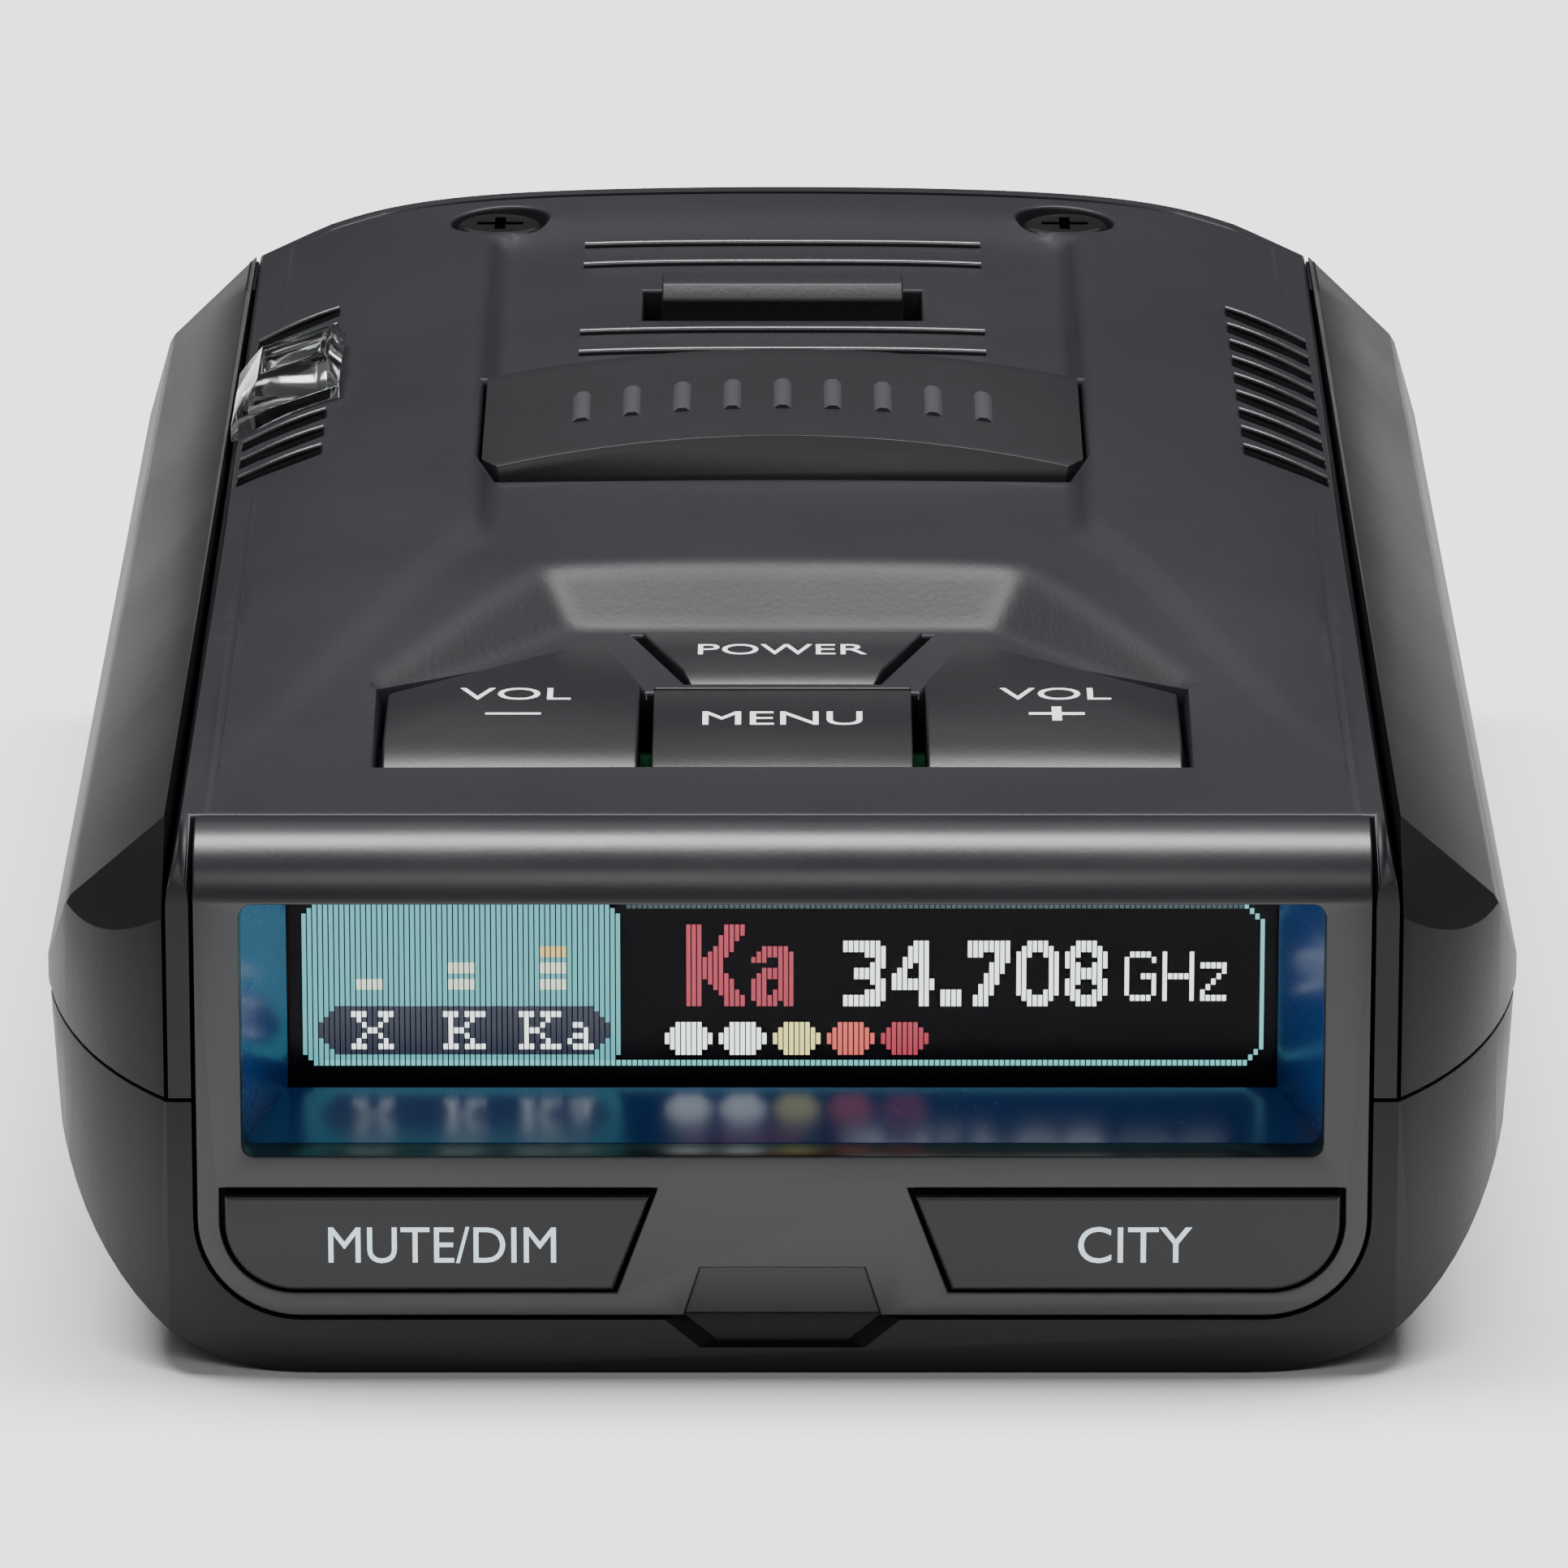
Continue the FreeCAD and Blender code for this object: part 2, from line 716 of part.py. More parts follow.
def roof_windows():
    """Everything that passes through the roof, as cutting tools."""
    low, high = roof_flat - 1.5, deck_height + 8.0
    tools = [plan_offset(points, slide_gap, low, high) for points in (menu_outline(), power_outline())]
    volume = plan_offset(volume_outline(), slide_gap, low, high)
    tools.extend(both_sides(volume))
    tools.append(plan_offset(plate_outline(), fit_gap, low, high))
    gap_half = latch_half + latch_side_gap
    tools.append(box(-gap_half, gap_half, latch_front - fit_gap, latch_front + latch_depth + fit_gap,
                     low, high))
    for index in range(slot_count):
        y = slot_first + slot_pitch * index
        slot = box(slot_inner, slot_outer, y - slot_width / 2.0, y + slot_width / 2.0, slot_floor, high)
        tools.append(slot)
        if index not in pipe_slots:
            tools.append(mirror_x(slot))
    tools.append(pipe_stem(fit_gap, low, high))
    for x, y in deck_screws():
        tools.append(upright(deck_head_radius + fit_gap, x, y, deck_seat(), high))
        tools.append(upright(screw_radius + screw_clearance, x, y, retainer_level - 1.0, high))
    for x, y in case_screws():
        tools.append(upright(screw_radius + touch_gap, x, y, board_top - 1.0, screw_tip() + 0.5))
    return tools


def deck_seat():
    """Height of the seat under a deck screw's head."""
    return high_crown(deck_screw_x, deck_screw_y) - head_height - 0.25


def screw_tip():
    """Height that the case screws reach."""
    return roof_flat - 2.5


def side_panel():
    """Right-hand side panel: a hollow cheek with a bevelled shoulder."""
    inner = seam_half_width + fit_gap
    ridge_x = half_width - ridge_inset
    low = parting_front - 1.0
    flank_top = V(half_width, parting_side + 1.2, 0)
    ridge = V(ridge_x, ridge_height, 0)
    crest = V(inner, deck_height, 0)
    below = ridge + (flank_top - ridge).normalize() * ridge_ease
    above = ridge + (crest - ridge).normalize() * ridge_ease
    section = [(inner, low), (half_width, low), (flank_top.x, flank_top.y), (below.x, below.y),
               (above.x, above.y), (inner, deck_height)]
    hollow = [(inner - 1.0, low - 1.0), (half_width - wall, low - 1.0),
              (half_width - wall, parting_side + 1.0), (ridge_x - wall * 0.9, ridge_height - wall * 0.4),
              (inner + 0.2, deck_height - wall * 1.35), (inner - 1.0, deck_height - wall * 1.35)]
    outer = front(section, -1.0, body_length).common(cheek_block(0.0, 0.0, deck_height + 1.0))
    inside = front(hollow, -1.0, body_length).common(cheek_block(wall, 0.0, deck_height + 1.0))
    facet = shoulder_facet(inner)
    stop = box(inner - fit_gap + touch_gap, inner + 0.4, case_end - end_stop_length, case_end,
               parting_side + 1.0, deck_height - 0.3)
    return cut(outer.cut(inside).fuse(stop), [parting_block(-1.0, fit_gap), facet, brow_cutter()])


def shoulder_facet(inner):
    """The wedge taken off the panel's shoulder at the display end."""
    top = V(inner, brow_depth, deck_height)
    outer = V(half_width - ridge_inset, shoulder_facet_back, ridge_height)
    low = V(inner, 0.0, deck_height - shoulder_facet_drop)
    reach = 4.0
    along = (outer - top) * reach
    down = (low - top) * reach
    corner = top - along * 0.5 - down * 0.5
    face = Part.Face(wire([corner, corner + along, corner + along + down, corner + down]))
    normal = along.cross(down).normalize()
    if normal.y > 0:
        normal = normal * -1.0
    return face.extrude(normal * 20.0)


# --- Display -------------------------------------------------------------------------------------

def display_bezel():
    """Front bezel: the brow, the window and the face buttons' openings."""
    block = bezel_outline(0.0, 0.0, brow_depth).cut(brow_cutter())
    pocket = bezel_outline(-bezel_rim, bezel_face, brow_depth + 1.0)
    ceiling = box(-half_width, half_width, bezel_face, brow_depth + 1.0, roof_flat - 0.3, deck_height + 1.0)
    window = box(-window_half, window_half, -1.0, bezel_face + 1.0, window_low, window_high)
    corners = edges_where(window, lambda p: abs(abs(p.x) - window_half) < 0.01
                          and abs(p.y - bezel_face / 2) < 0.1)
    window = window.makeFillet(0.7, corners)
    low_half = notch_half + notch_spread
    notch = [(-notch_half, notch_top), (notch_half, notch_top), (low_half, bezel_bottom - 1.0),
             (-low_half, bezel_bottom - 1.0)]
    tools = [pocket.cut(ceiling), window, front(notch, -1.0, notch_depth)]
    tools.extend(both_sides(face_button_block(slide_gap - 0.1, -1.0, bezel_face + 1.0)))
    return cut(block, tools)


def display_hood():
    """Tunnel from the bezel's window back to the screen."""
    front_y = bezel_face + touch_gap
    half = bezel_half - bezel_rim - fit_gap
    low = window_low - hood_wall
    block = box(-half, half, front_y, hood_depth, low, roof_flat - 0.3 - fit_gap)
    hole = tunnel(window_half, window_low, window_high, front_y,
                  screen_half, screen_low, screen_high, hood_depth)
    return cut(block, [hole, lens_block(fit_gap)])


def lens_block(clearance):
    """The display lens, made larger by a clearance."""
    back = hood_depth
    return box(-screen_half - lens_margin - clearance, screen_half + lens_margin + clearance,
               back - lens_thickness - clearance, back + (1.0 if clearance else 0.0),
               screen_low - 0.8 - clearance, screen_high + 0.8 + clearance)


def display_panel():
    """The lit display's glass and backing."""
    front_y = hood_depth + touch_gap
    return box(-screen_half - 2.2, screen_half + 2.2, front_y, front_y + panel_thickness,
               screen_low - 1.6, screen_high + 1.6)


def display_flex():
    """Flat cable from the display panel down to the main board."""
    back = hood_depth + touch_gap + panel_thickness
    strip = box(-8.0, 8.0, back, back + 0.3, board_top, screen_high - 3.0)
    foot = box(-8.0, 8.0, back, board_front + 6.0, board_top, board_top + 0.3)
    plug = box(-9.0, 9.0, board_front + 4.0, board_front + 7.5, board_top, board_top + 1.4)
    return fuse([strip, foot, plug])


# --- Buttons and switches ------------------------------------------------------------------------

def top_board_low():
    """Underside of the top button board."""
    return stem_end() - button_travel - press_gap - plunger_height - switch_height - small_board_thickness


def stem_end():
    """Lower end of a top button's stem."""
    return roof_flat - touch_gap * 2.0 - flange_thickness - stem_length


def top_board_half():
    """Half width of the top button board."""
    return volume_outer + 1.0


def top_button(points, proud, start, slope):
    """A top button's cap, with a slope that leads up from its front."""
    top = deck_height + proud
    low = roof_flat - touch_gap * 2.0 - flange_thickness
    cap = plan(points, low, top)
    seat = deck_height - slope_sink
    lead = side([(start - 1.0, seat), (start, seat), (start + slope, top), (start + slope, top + 1.0),
                 (start - 1.0, top + 1.0)], -half_width, half_width)
    return cap.cut(lead)


def finish_button(cap, feet, centre):
    """Adds the retaining feet and the stem to a cap."""
    x, y = centre
    high = roof_flat - touch_gap * 2.0
    stem = upright(stem_radius, x, y, stem_end(), high)
    return fuse([cap, stem] + [box(a, b, c, d, high - flange_thickness, high) for a, b, c, d in feet])


def menu_button():
    """Menu button, with a thin groove near its back edge."""
    top = deck_height + menu_proud
    cap = top_button(menu_outline(), menu_proud, button_front, menu_slope)
    groove = box(-menu_half - 1.0, menu_half + 1.0, menu_back - 0.25 - groove_width, menu_back - 0.25,
                 top - 0.2, top + 1.0)
    half = menu_half - 1.0
    feet = [(-half, half, button_front - foot_reach, button_front + 0.5),
            (-half, half, menu_back - 0.5, menu_back + foot_reach)]
    return finish_button(cap.cut(groove), feet, switch_places()[1])


def volume_button():
    """Right-hand volume button."""
    cap = top_button(volume_outline(), volume_proud, button_front, volume_slope)
    feet = [(volume_inner + 1.5, volume_outer - 1.0, button_front - foot_reach, button_front + 0.5),
            (volume_outer - 0.5, volume_outer + 0.6, button_front + 2.0, basin_side_back - 1.0)]
    return finish_button(cap, feet, switch_places()[2])


def power_button():
    """Power button, with a leaning front."""
    cap = top_button(power_outline(), power_proud, power_front, power_slope)
    feet = [(-power_back_half + 1.5, power_back_half - 1.5, power_back - 0.5, power_back + foot_reach)]
    return finish_button(cap, feet, switch_places()[0])


def switch_places():
    """Plan places of the top switches: power, menu, right volume."""
    power = (0.0, (power_front + power_back) / 2.0)
    menu = (0.0, (button_front + menu_back) / 2.0)
    volume = ((volume_inner + volume_outer) / 2.0, (button_front + basin_side_back) / 2.0 + 1.0)
    return [power, menu, volume]


def top_switches():
    """The four switches under the top buttons."""
    places = switch_places()
    places.append((-places[2][0], places[2][1]))
    base = top_board_low() + small_board_thickness
    half = switch_body / 2.0
    parts = []
    for x, y in places:
        body = box(x - half, x + half, y - half, y + half, base, base + switch_height)
        parts.append(body.fuse(upright(plunger_radius, x, y, base + switch_height - 0.2,
                                       base + switch_height + plunger_height)))
    return group(parts)


def top_button_board():
    """The small board under the top buttons."""
    half = top_board_half()
    low = top_board_low()
    return box(-half, half, button_front - 0.7, basin_back - 1.6, low, low + small_board_thickness)


def face_button():
    """Right-hand face button: cap, flange behind the bezel and a stem."""
    cap = face_button_block(0.0, -face_button_proud, bezel_face + 0.5)
    eased = edges_where(cap, lambda p: abs(p.y + face_button_proud) < 0.01)
    cap = cap.makeFillet(0.25, eased)
    flange = face_button_block(0.3, bezel_face + touch_gap * 2.0, bezel_face + touch_gap * 2.0 + 0.8)
    half = (face_button_outer - face_button_inner) / 2.0
    x = face_button_inner + half
    z = (face_button_low + face_button_top) / 2.0
    stem = rod(stem_radius, face_stem_end() - bezel_face, V(x, bezel_face, z), V(0, 1, 0))
    return fuse([cap, flange, stem])


def face_stem_end():
    """Depth that a face button's stem reaches."""
    return bezel_face + 2.2


def board_slot_y():
    """Front of the face button board."""
    return face_stem_end() + face_button_travel + press_gap + plunger_height + switch_height


def face_switches():
    """The two switches behind the face buttons."""
    x = (face_button_outer + face_button_inner) / 2.0
    z = (face_button_low + face_button_top) / 2.0
    half = switch_body / 2.0
    back = board_slot_y()
    body = box(x - half, x + half, back - switch_height, back, z - half, z + half)
    tip = V(x, back - switch_height - plunger_height, z)
    plunger = rod(plunger_radius, plunger_height + 0.2, tip, V(0, 1, 0))
    return group(both_sides(body.fuse(plunger)))


def face_button_board():
    """Upright board behind the face buttons, standing in its slot."""
    y = board_slot_y()
    half = (face_button_outer + face_button_inner) / 2.0 + switch_body / 2.0 + face_board_margin
    return box(-half, half, y, y + small_board_thickness, floor_thickness + touch_gap,
               window_low - hood_wall - fit_gap)


# --- Mount release -------------------------------------------------------------------------------

def release_plate():
    """Arched press plate on the deck, with a leaning lens-shaped front."""
    front_top = plate_top - plate_rise
    end_top = front_top - plate_end_drop
    arc = Part.Arc(V(-plate_half, 0, end_top), V(0, 0, front_top), V(plate_half, 0, end_top)).toShape()
    low = latch_plate_level - plate_rise - 1.0
    corners = [V(plate_half, 0, end_top), V(plate_half, 0, low),
               V(-plate_half, 0, low), V(-plate_half, 0, end_top)]
    lines = [Part.makeLine(corners[index], corners[index + 1]) for index in range(3)]
    block = Part.Face(Part.Wire([arc] + lines)).extrude(V(0, plate_depth, plate_rise))
    block.translate(V(0, plate_front, 0))
    seat = deck_height + low_rise
    lean = side([(plate_front - 1.0, seat), (plate_front, seat), (plate_front + plate_lean, front_top),
                 (plate_front + plate_lean, plate_top + 1.0), (plate_front - 1.0, plate_top + 1.0)],
                -half_width, half_width)
    nipped = block.common(plan(plate_outline(), latch_plate_level, plate_top + 1.0))
    return nipped.cut(lean)


def mount_latch():
    """Latch hook on its tongue, with the carrier that the plate presses on."""
    top = latch_plate_level
    low = top - latch_plate_thickness
    back = plate_front + plate_depth
    carrier = box(-carrier_half, carrier_half, plate_front - 1.2, back + 0.8, low, top)
    tongue = box(-latch_tongue_half, latch_tongue_half, back, latch_front + latch_depth + 1.2,
                 low, top)
    floor = low_crown(0.0, latch_front)
    back = latch_front + latch_depth
    crest = latch_front + latch_chamfer
    hook = side([(latch_front, top - 0.2), (latch_front, latch_height - latch_chamfer), (crest, latch_height),
                 (crest + latch_flat, latch_height), (back, floor + 0.3), (back, top - 0.2)],
                -latch_half, latch_half)
    high = roof_crown - press_gap * 2.0
    stop = box(-6.0, 6.0, plate_front + plate_depth + 2.0, plate_front + plate_depth + 5.0, top - 0.2, high)
    return fuse([carrier, tongue, hook, stop])


def release_springs():
    """Two compression springs under the latch's tongue."""
    low = retainer_level
    high = latch_plate_level - latch_plate_thickness
    wire_radius = spring_wire / 2.0
    height = high - low - spring_wire
    pitch = height / spring_turns
    helix = Part.makeHelix(pitch, height, spring_radius)
    start = V(spring_radius, 0, 0)
    profile = Part.Wire([Part.Circle(start, V(0, 1, 0), wire_radius).toShape()])
    coil = Part.Wire(helix).makePipeShell([profile], True, True)
    coil.translate(V(spring_x, spring_y, low + wire_radius))
    return group(both_sides(coil))


def retainer_front():
    """Depth of the retainer's front edge."""
    return plate_front - retainer_reach


def latch_retainer():
    """Bridge under the latch that carries its springs."""
    high = retainer_level
    low = high - retainer_thickness
    half = latch_tongue_half + 1.3
    bridge = box(-half, half, retainer_front(), deck_screw_y + 3.4, low, high)
    wing = box(-deck_screw_x - 3.2, deck_screw_x + 3.2, deck_screw_y - 3.4, deck_screw_y + 3.4, low, high)
    nuts = [upright(2.4, x, y, board_top + 1.6, high) for x, y in deck_screws()]
    holes = [upright(screw_radius + touch_gap, x, y, board_top + 2.4, high + 1.0) for x, y in deck_screws()]
    return cut(fuse([bridge, wing] + nuts), holes)


def panel_ribs(housing):
    """Adds the thin raised ribs to the mount panel."""
    for y in rib_places:
        top = low_crown(0.0, y) + rib_height
        arc = Part.Arc(V(-rib_half, y, low_crown(rib_half, y) + rib_height), V(0, y, top),
                       V(rib_half, y, low_crown(rib_half, y) + rib_height)).toShape()
        low = top - 1.6
        a = V(rib_half, y, low_crown(rib_half, y) + rib_height)
        b = V(rib_half, y, low)
        c = V(-rib_half, y, low)
        d = V(-rib_half, y, a.z)
        face = Part.Face(Part.Wire([arc, Part.makeLine(a, b), Part.makeLine(b, c), Part.makeLine(c, d)]))
        housing = housing.fuse(face.extrude(V(0, rib_width, 0)))
    return housing


# --- Boards, radar, sensors and speaker ------------------------------------------------------------

def main_board():
    """Main circuit board, with holes for the case screws."""
    board = box(-board_half, board_half, board_front, case_end - 5.0, board_level, board_top)
    holes = [upright(screw_radius + 0.4, x, y, board_level - 1.0, board_top + 1.0) for x, y in case_screws()]
    return cut(board, holes)


def board_chips():
    """Processor, memory and radio chips on the main board."""
    places = ((10.0, 26.0, 10.0, 10.0, 1.4), (-12.0, 25.0, 8.0, 6.0, 1.2), (13.0, 44.0, 7.0, 7.0, 1.1),
              (-14.0, 40.0, 5.0, 5.0, 1.0), (20.0, 60.0, 6.0, 4.0, 1.5), (-18.0, 52.0, 4.0, 8.0, 1.2))
    return group([box(x - w / 2, x + w / 2, y - d / 2, y + d / 2, board_top, board_top + h)
                  for x, y, w, d, h in places])


def shield_can():
    """Thin metal box over the radar receiver."""
    outer = box(-22.0, 6.0, 58.0, 88.0, board_top, board_top + 2.8)
    inner = box(-21.7, 5.7, 58.3, 87.7, board_top - 1.0, board_top + 2.5)
    return outer.cut(inner)


def gps_antenna():
    """Square ceramic satellite antenna on the main board."""
    base = box(-6.6, 6.6, 34.4, 47.6, board_top, board_top + 1.0)
    ceramic = box(-6.0, 6.0, 35.0, 47.0, board_top + 1.0, board_top + 5.0)
    return base.fuse(ceramic)


def horn_antenna():
    """Cast radar horn with its waveguide, opening towards the antenna end."""
    high = board_level - 0.1
    mouth = case_end - wall - 3.2
    throat = mouth - horn_length
    back = throat - guide_length
    mid = (horn_low + high) / 2.0
    throat_half = (high - horn_low) / 2.0 - 0.9
    shell = tunnel(horn_throat_half, mid - throat_half, mid + throat_half, throat,
                   horn_half, horn_low, high, mouth)
    guide = box(-horn_throat_half, horn_throat_half, back, throat, mid - throat_half, mid + throat_half)
    ears = [box(-horn_throat_half - 3.5, horn_throat_half + 3.5, y, y + 5.0, high - 1.6, high)
            for y in (back + 1.0, throat - 6.0)]
    w = horn_wall
    cavity = tunnel(horn_throat_half - w, mid - throat_half + w, mid + throat_half - w, throat - 0.01,
                    horn_half - w, horn_low + w, high - w, mouth + 0.01)
    guide_cavity = box(-horn_throat_half + w, horn_throat_half - w, back + w, throat,
                       mid - throat_half + w, mid + throat_half - w)
    return cut(fuse([shell, guide] + ears), [cavity, guide_cavity])


def antenna_window():
    """Radar-clear nose cap with the laser lens's hole."""
    half = window_opening_half - fit_gap
    low = window_opening_low + fit_gap
    high = window_opening_high - fit_gap
    inner_y = case_end - wall - 0.1
    cap = box(-half, half, inner_y, body_length, low, high)
    cap = cap.makeFillet(window_round, edges_where(cap, lambda p: p.y > body_length - 0.1))
    flange = box(-half - 1.7, half + 1.7, inner_y - 1.4, inner_y, low - 1.2, high + 1.2)
    lower = box(-half_width, half_width, inner_y - 2.0, inner_y + 1.0, -1.0, bilge_top)
    flange = flange.cut(lower.cut(tub_section(wall + fit_gap)))
    w = window_wall
    hollow = box(-half + w, half - w, inner_y - 2.0, body_length - w, low + w, high - w)
    hollow = hollow.makeFillet(window_round - w, edges_where(hollow, lambda p: p.y > body_length - w - 0.1))
    hole = rod(laser_radius + fit_gap, 20.0, V(laser_x, inner_y, laser_z), V(0, 1, 0))
    return cut(fuse([cap, flange]), [hollow, hole])


def front_laser_lens():
    """Round collecting lens in the nose cap."""
    back = body_length - window_wall - 3.0
    barrel = rod(laser_radius, 4.0, V(laser_x, back, laser_z), V(0, 1, 0))
    dome_radius = 9.0
    dome = Part.makeSphere(dome_radius, V(laser_x, back + 4.2 - dome_radius, laser_z))
    rim = rod(laser_radius + 0.6, 0.8, V(laser_x, back - 0.3, laser_z), V(0, 1, 0))
    return fuse([barrel.common(dome), rim])


def front_laser_sensor():
    """Sensor board behind the front laser lens."""
    y = body_length - window_wall - 6.0
    board = box(laser_x - 5.5, laser_x + 5.5, y - 1.0, y, board_top, laser_z + 4.0)
    eye = rod(2.4, 1.4, V(laser_x, y, laser_z), V(0, 1, 0))
    return board.fuse(eye)


def pipe_stem(clearance, z0, z1):
    """The light pipe's stem through the roof."""
    return box(-pipe_outer + 1.2 - clearance, -pipe_inner - 0.6 + clearance,
               pipe_front + 0.8 - clearance, pipe_front + pipe_depth - 0.8 + clearance, z0, z1)


def laser_board_low():
    """Underside of the rear laser sensor's board."""
    return roof_flat - 4.6


def pipe_section(base, top):
    """Side outline of the light pipe's block: a leaning front facet and an eased back edge."""
    y0, y1 = pipe_front, pipe_front + pipe_depth
    return [V(-pipe_inner, y0, base), V(-pipe_inner, y1, base), V(-pipe_inner, y1, top - 0.7),
            V(-pipe_inner, y1 - 0.6, top), V(-pipe_inner, y0 + pipe_facet_run, top),
            V(-pipe_inner, y0, top - pipe_facet_drop)]


def pipe_end_cutters(top):
    """What the light pipe's two ends lose: a leaning inner facet and a rounded-off outer one."""
    y0, y1 = pipe_front - 1.0, pipe_front + pipe_depth + 1.0
    inner = [(-pipe_inner + 0.1, top - 1.0), (-pipe_inner + 0.1, top + 1.0), (-pipe_inner - 1.0, top + 1.0),
             (-pipe_inner - 0.7, top - 0.2)]
    low = top - pipe_fall
    outer = [(-pipe_outer - 0.1, low - 1.4), (-pipe_outer + 1.4, low + 0.6), (-pipe_outer + 1.4, low + 2.0),
             (-pipe_outer - 0.1, low + 2.0)]
    return [front(inner, y0, y1), front(outer, y0, y1)]


def pipe_pocket(top):
    """The shallow pocket in the light pipe's top."""
    slope = pipe_fall / (pipe_outer - pipe_inner)
    x0, x1 = pipe_inner + 1.2, pipe_outer - 1.5
    y0, y1 = pipe_front + pipe_facet_run + 0.8, pipe_front + pipe_depth - 1.5
    low = top - pipe_pocket_depth - slope * (x0 - pipe_inner)
    corners = [V(-x0, y0, low), V(-x0, y1, low), V(-x0, y1, top + 1.0), V(-x0, y0, top + 1.0)]
    return Part.Face(wire(corners)).extrude(V(x0 - x1, 0, slope * (x0 - x1)))


def light_pipe(skin):
    """Clear faceted prism over the left slots, with its stem down to the sensor."""
    base = high_crown(pipe_inner, pipe_front) - 1.0
    top = base + 1.0 + pipe_height
    block = Part.Face(wire(pipe_section(base, top))).extrude(V(pipe_inner - pipe_outer, 0, -pipe_fall))
    proud = cut(block, pipe_end_cutters(top) + [pipe_pocket(top)])
    lowered = skin.copy()
    lowered.translate(V(0, 0, touch_gap))
    stem = pipe_stem(0.0, roof_flat - 0.6, base + 0.9)
    return fuse([proud.cut(lowered), stem])


def rear_laser_sensor():
    """Small board and photodiode under the light pipe."""
    low = laser_board_low()
    x0, x1 = -seam_half_width + wall + fit_gap, -pipe_inner + 2.5
    y0, y1 = pipe_front + 0.5, pipe_front + pipe_depth - 0.5
    board = box(x0, x1, y0, y1, low, low + 1.0)
    middle_x, middle_y = (x0 + x1) / 2.0 - 0.8, (y0 + y1) / 2.0
    eye = box(middle_x - 1.8, middle_x + 1.8, middle_y - 2.2, middle_y + 2.2, low + 1.0, low + 2.6)
    return board.fuse(eye)


def speaker_parts():
    """Speaker frame, cone, magnet and the foam ring that seals it to the roof."""
    x0, x1 = speaker_x
    y0, y1 = speaker_y
    x, y = (x0 + x1) / 2.0, (y0 + y1) / 2.0
    bowl = speaker_tray(frame_wall + 1.4, speaker_low + 1.2, frame_wall, speaker_high + 0.01)
    frame = box(x0, x1, y0, y1, speaker_low, speaker_high).cut(bowl)
    outer = speaker_tray(frame_wall + 2.2, speaker_low + 1.7, frame_wall + 0.3, speaker_high - 0.4)
    dish = speaker_tray(frame_wall + 2.2 + cone_wall, speaker_low + 1.7 + cone_wall,
                        frame_wall + 0.3 + cone_wall, speaker_high - 0.39)
    cone = outer.cut(dish)
    magnet = upright(magnet_radius, x, y, speaker_low - magnet_height, speaker_low)
    ring = box(x0, x1, y0, y1, speaker_high, speaker_high + gasket_thickness)
    hole = box(x0 + chamber_wall, x1 - chamber_wall, y0 + chamber_wall, y1 - chamber_wall, 0.0, roof_crown)
    return frame, cone, magnet, ring.cut(hole)


def speaker_tray(low_inset, low, high_inset, high):
    """The speaker's outline drawn in by one inset below and another above, as one solid."""
    x0, x1 = speaker_x
    y0, y1 = speaker_y
    wires = []
    for inset, z in ((low_inset, low), (high_inset, high)):
        a, b, c, d = x0 + inset, x1 - inset, y0 + inset, y1 - inset
        wires.append(wire([V(a, c, z), V(b, c, z), V(b, d, z), V(a, d, z)]))
    return Part.makeLoft(wires, True, True)


# --- Sockets, screws and label ---------------------------------------------------------------------

def socket_nose(bore):
    """Outer radius of a round socket's nose."""
    return bore + 1.1


def round_socket(y, bore):
    """A round plug socket soldered under the main board."""
    half = socket_body / 2.0
    body = box(socket_back, socket_shoulder, y - half, y + half, socket_level - half, board_level)
    nose = rod(socket_nose(bore), socket_face - socket_shoulder + 0.2,
               V(socket_shoulder - 0.2, y, socket_level), V(1, 0, 0))
    hole = rod(bore, socket_face - socket_back - 1.0, V(socket_back + 1.5, y, socket_level), V(1, 0, 0))
    return fuse([body, nose]).cut(hole)


def usb_level():
    """Underside of the USB socket's shell."""
    return board_level - 1.5 - usb_height


def usb_socket():
    """Small USB socket with its tongue, on a spacer under the main board."""
    half = usb_width / 2.0
    low = usb_level()
    back = socket_face - usb_length
    shell = box(back, socket_face, usb_socket_y - half, usb_socket_y + half, low, low + usb_height)
    hole = box(back + 1.0, socket_face + 1.0, usb_socket_y - half + 0.3, usb_socket_y + half - 0.3, low + 0.3,
               low + usb_height - 0.3)
    tongue = box(back + 0.5, socket_face - 0.8, usb_socket_y - 2.2, usb_socket_y + 2.2, low + 1.6, low + 2.1)
    spacer = box(24.0, 29.0, usb_socket_y - half, usb_socket_y + half, low, board_level)
    return fuse([shell.cut(hole), tongue, spacer])


def cross_recess(x, y, z, direction, size):
    """A cross-shaped driver recess."""
    depth = 0.8 * direction
    low, high = min(z, z - depth), max(z, z - depth)
    low, high = (low, high + 0.5) if direction > 0 else (low - 0.5, high)
    arm = box(x - size, x + size, y - 0.3, y + 0.3, low, high)
    return arm.fuse(box(x - 0.3, x + 0.3, y - size, y + size, low, high))


def case_screw_group():
    """The four long screws that close the case from below."""
    screws = []
    seat = head_recess + head_height
    for x, y in case_screws():
        head = upright(head_radius, x, y, head_recess, seat)
        shank = upright(screw_radius, x, y, seat - 0.2, screw_tip())
        screws.append(fuse([head, shank]).cut(cross_recess(x, y, head_recess, -1.0, 1.3)))
    return group(screws)


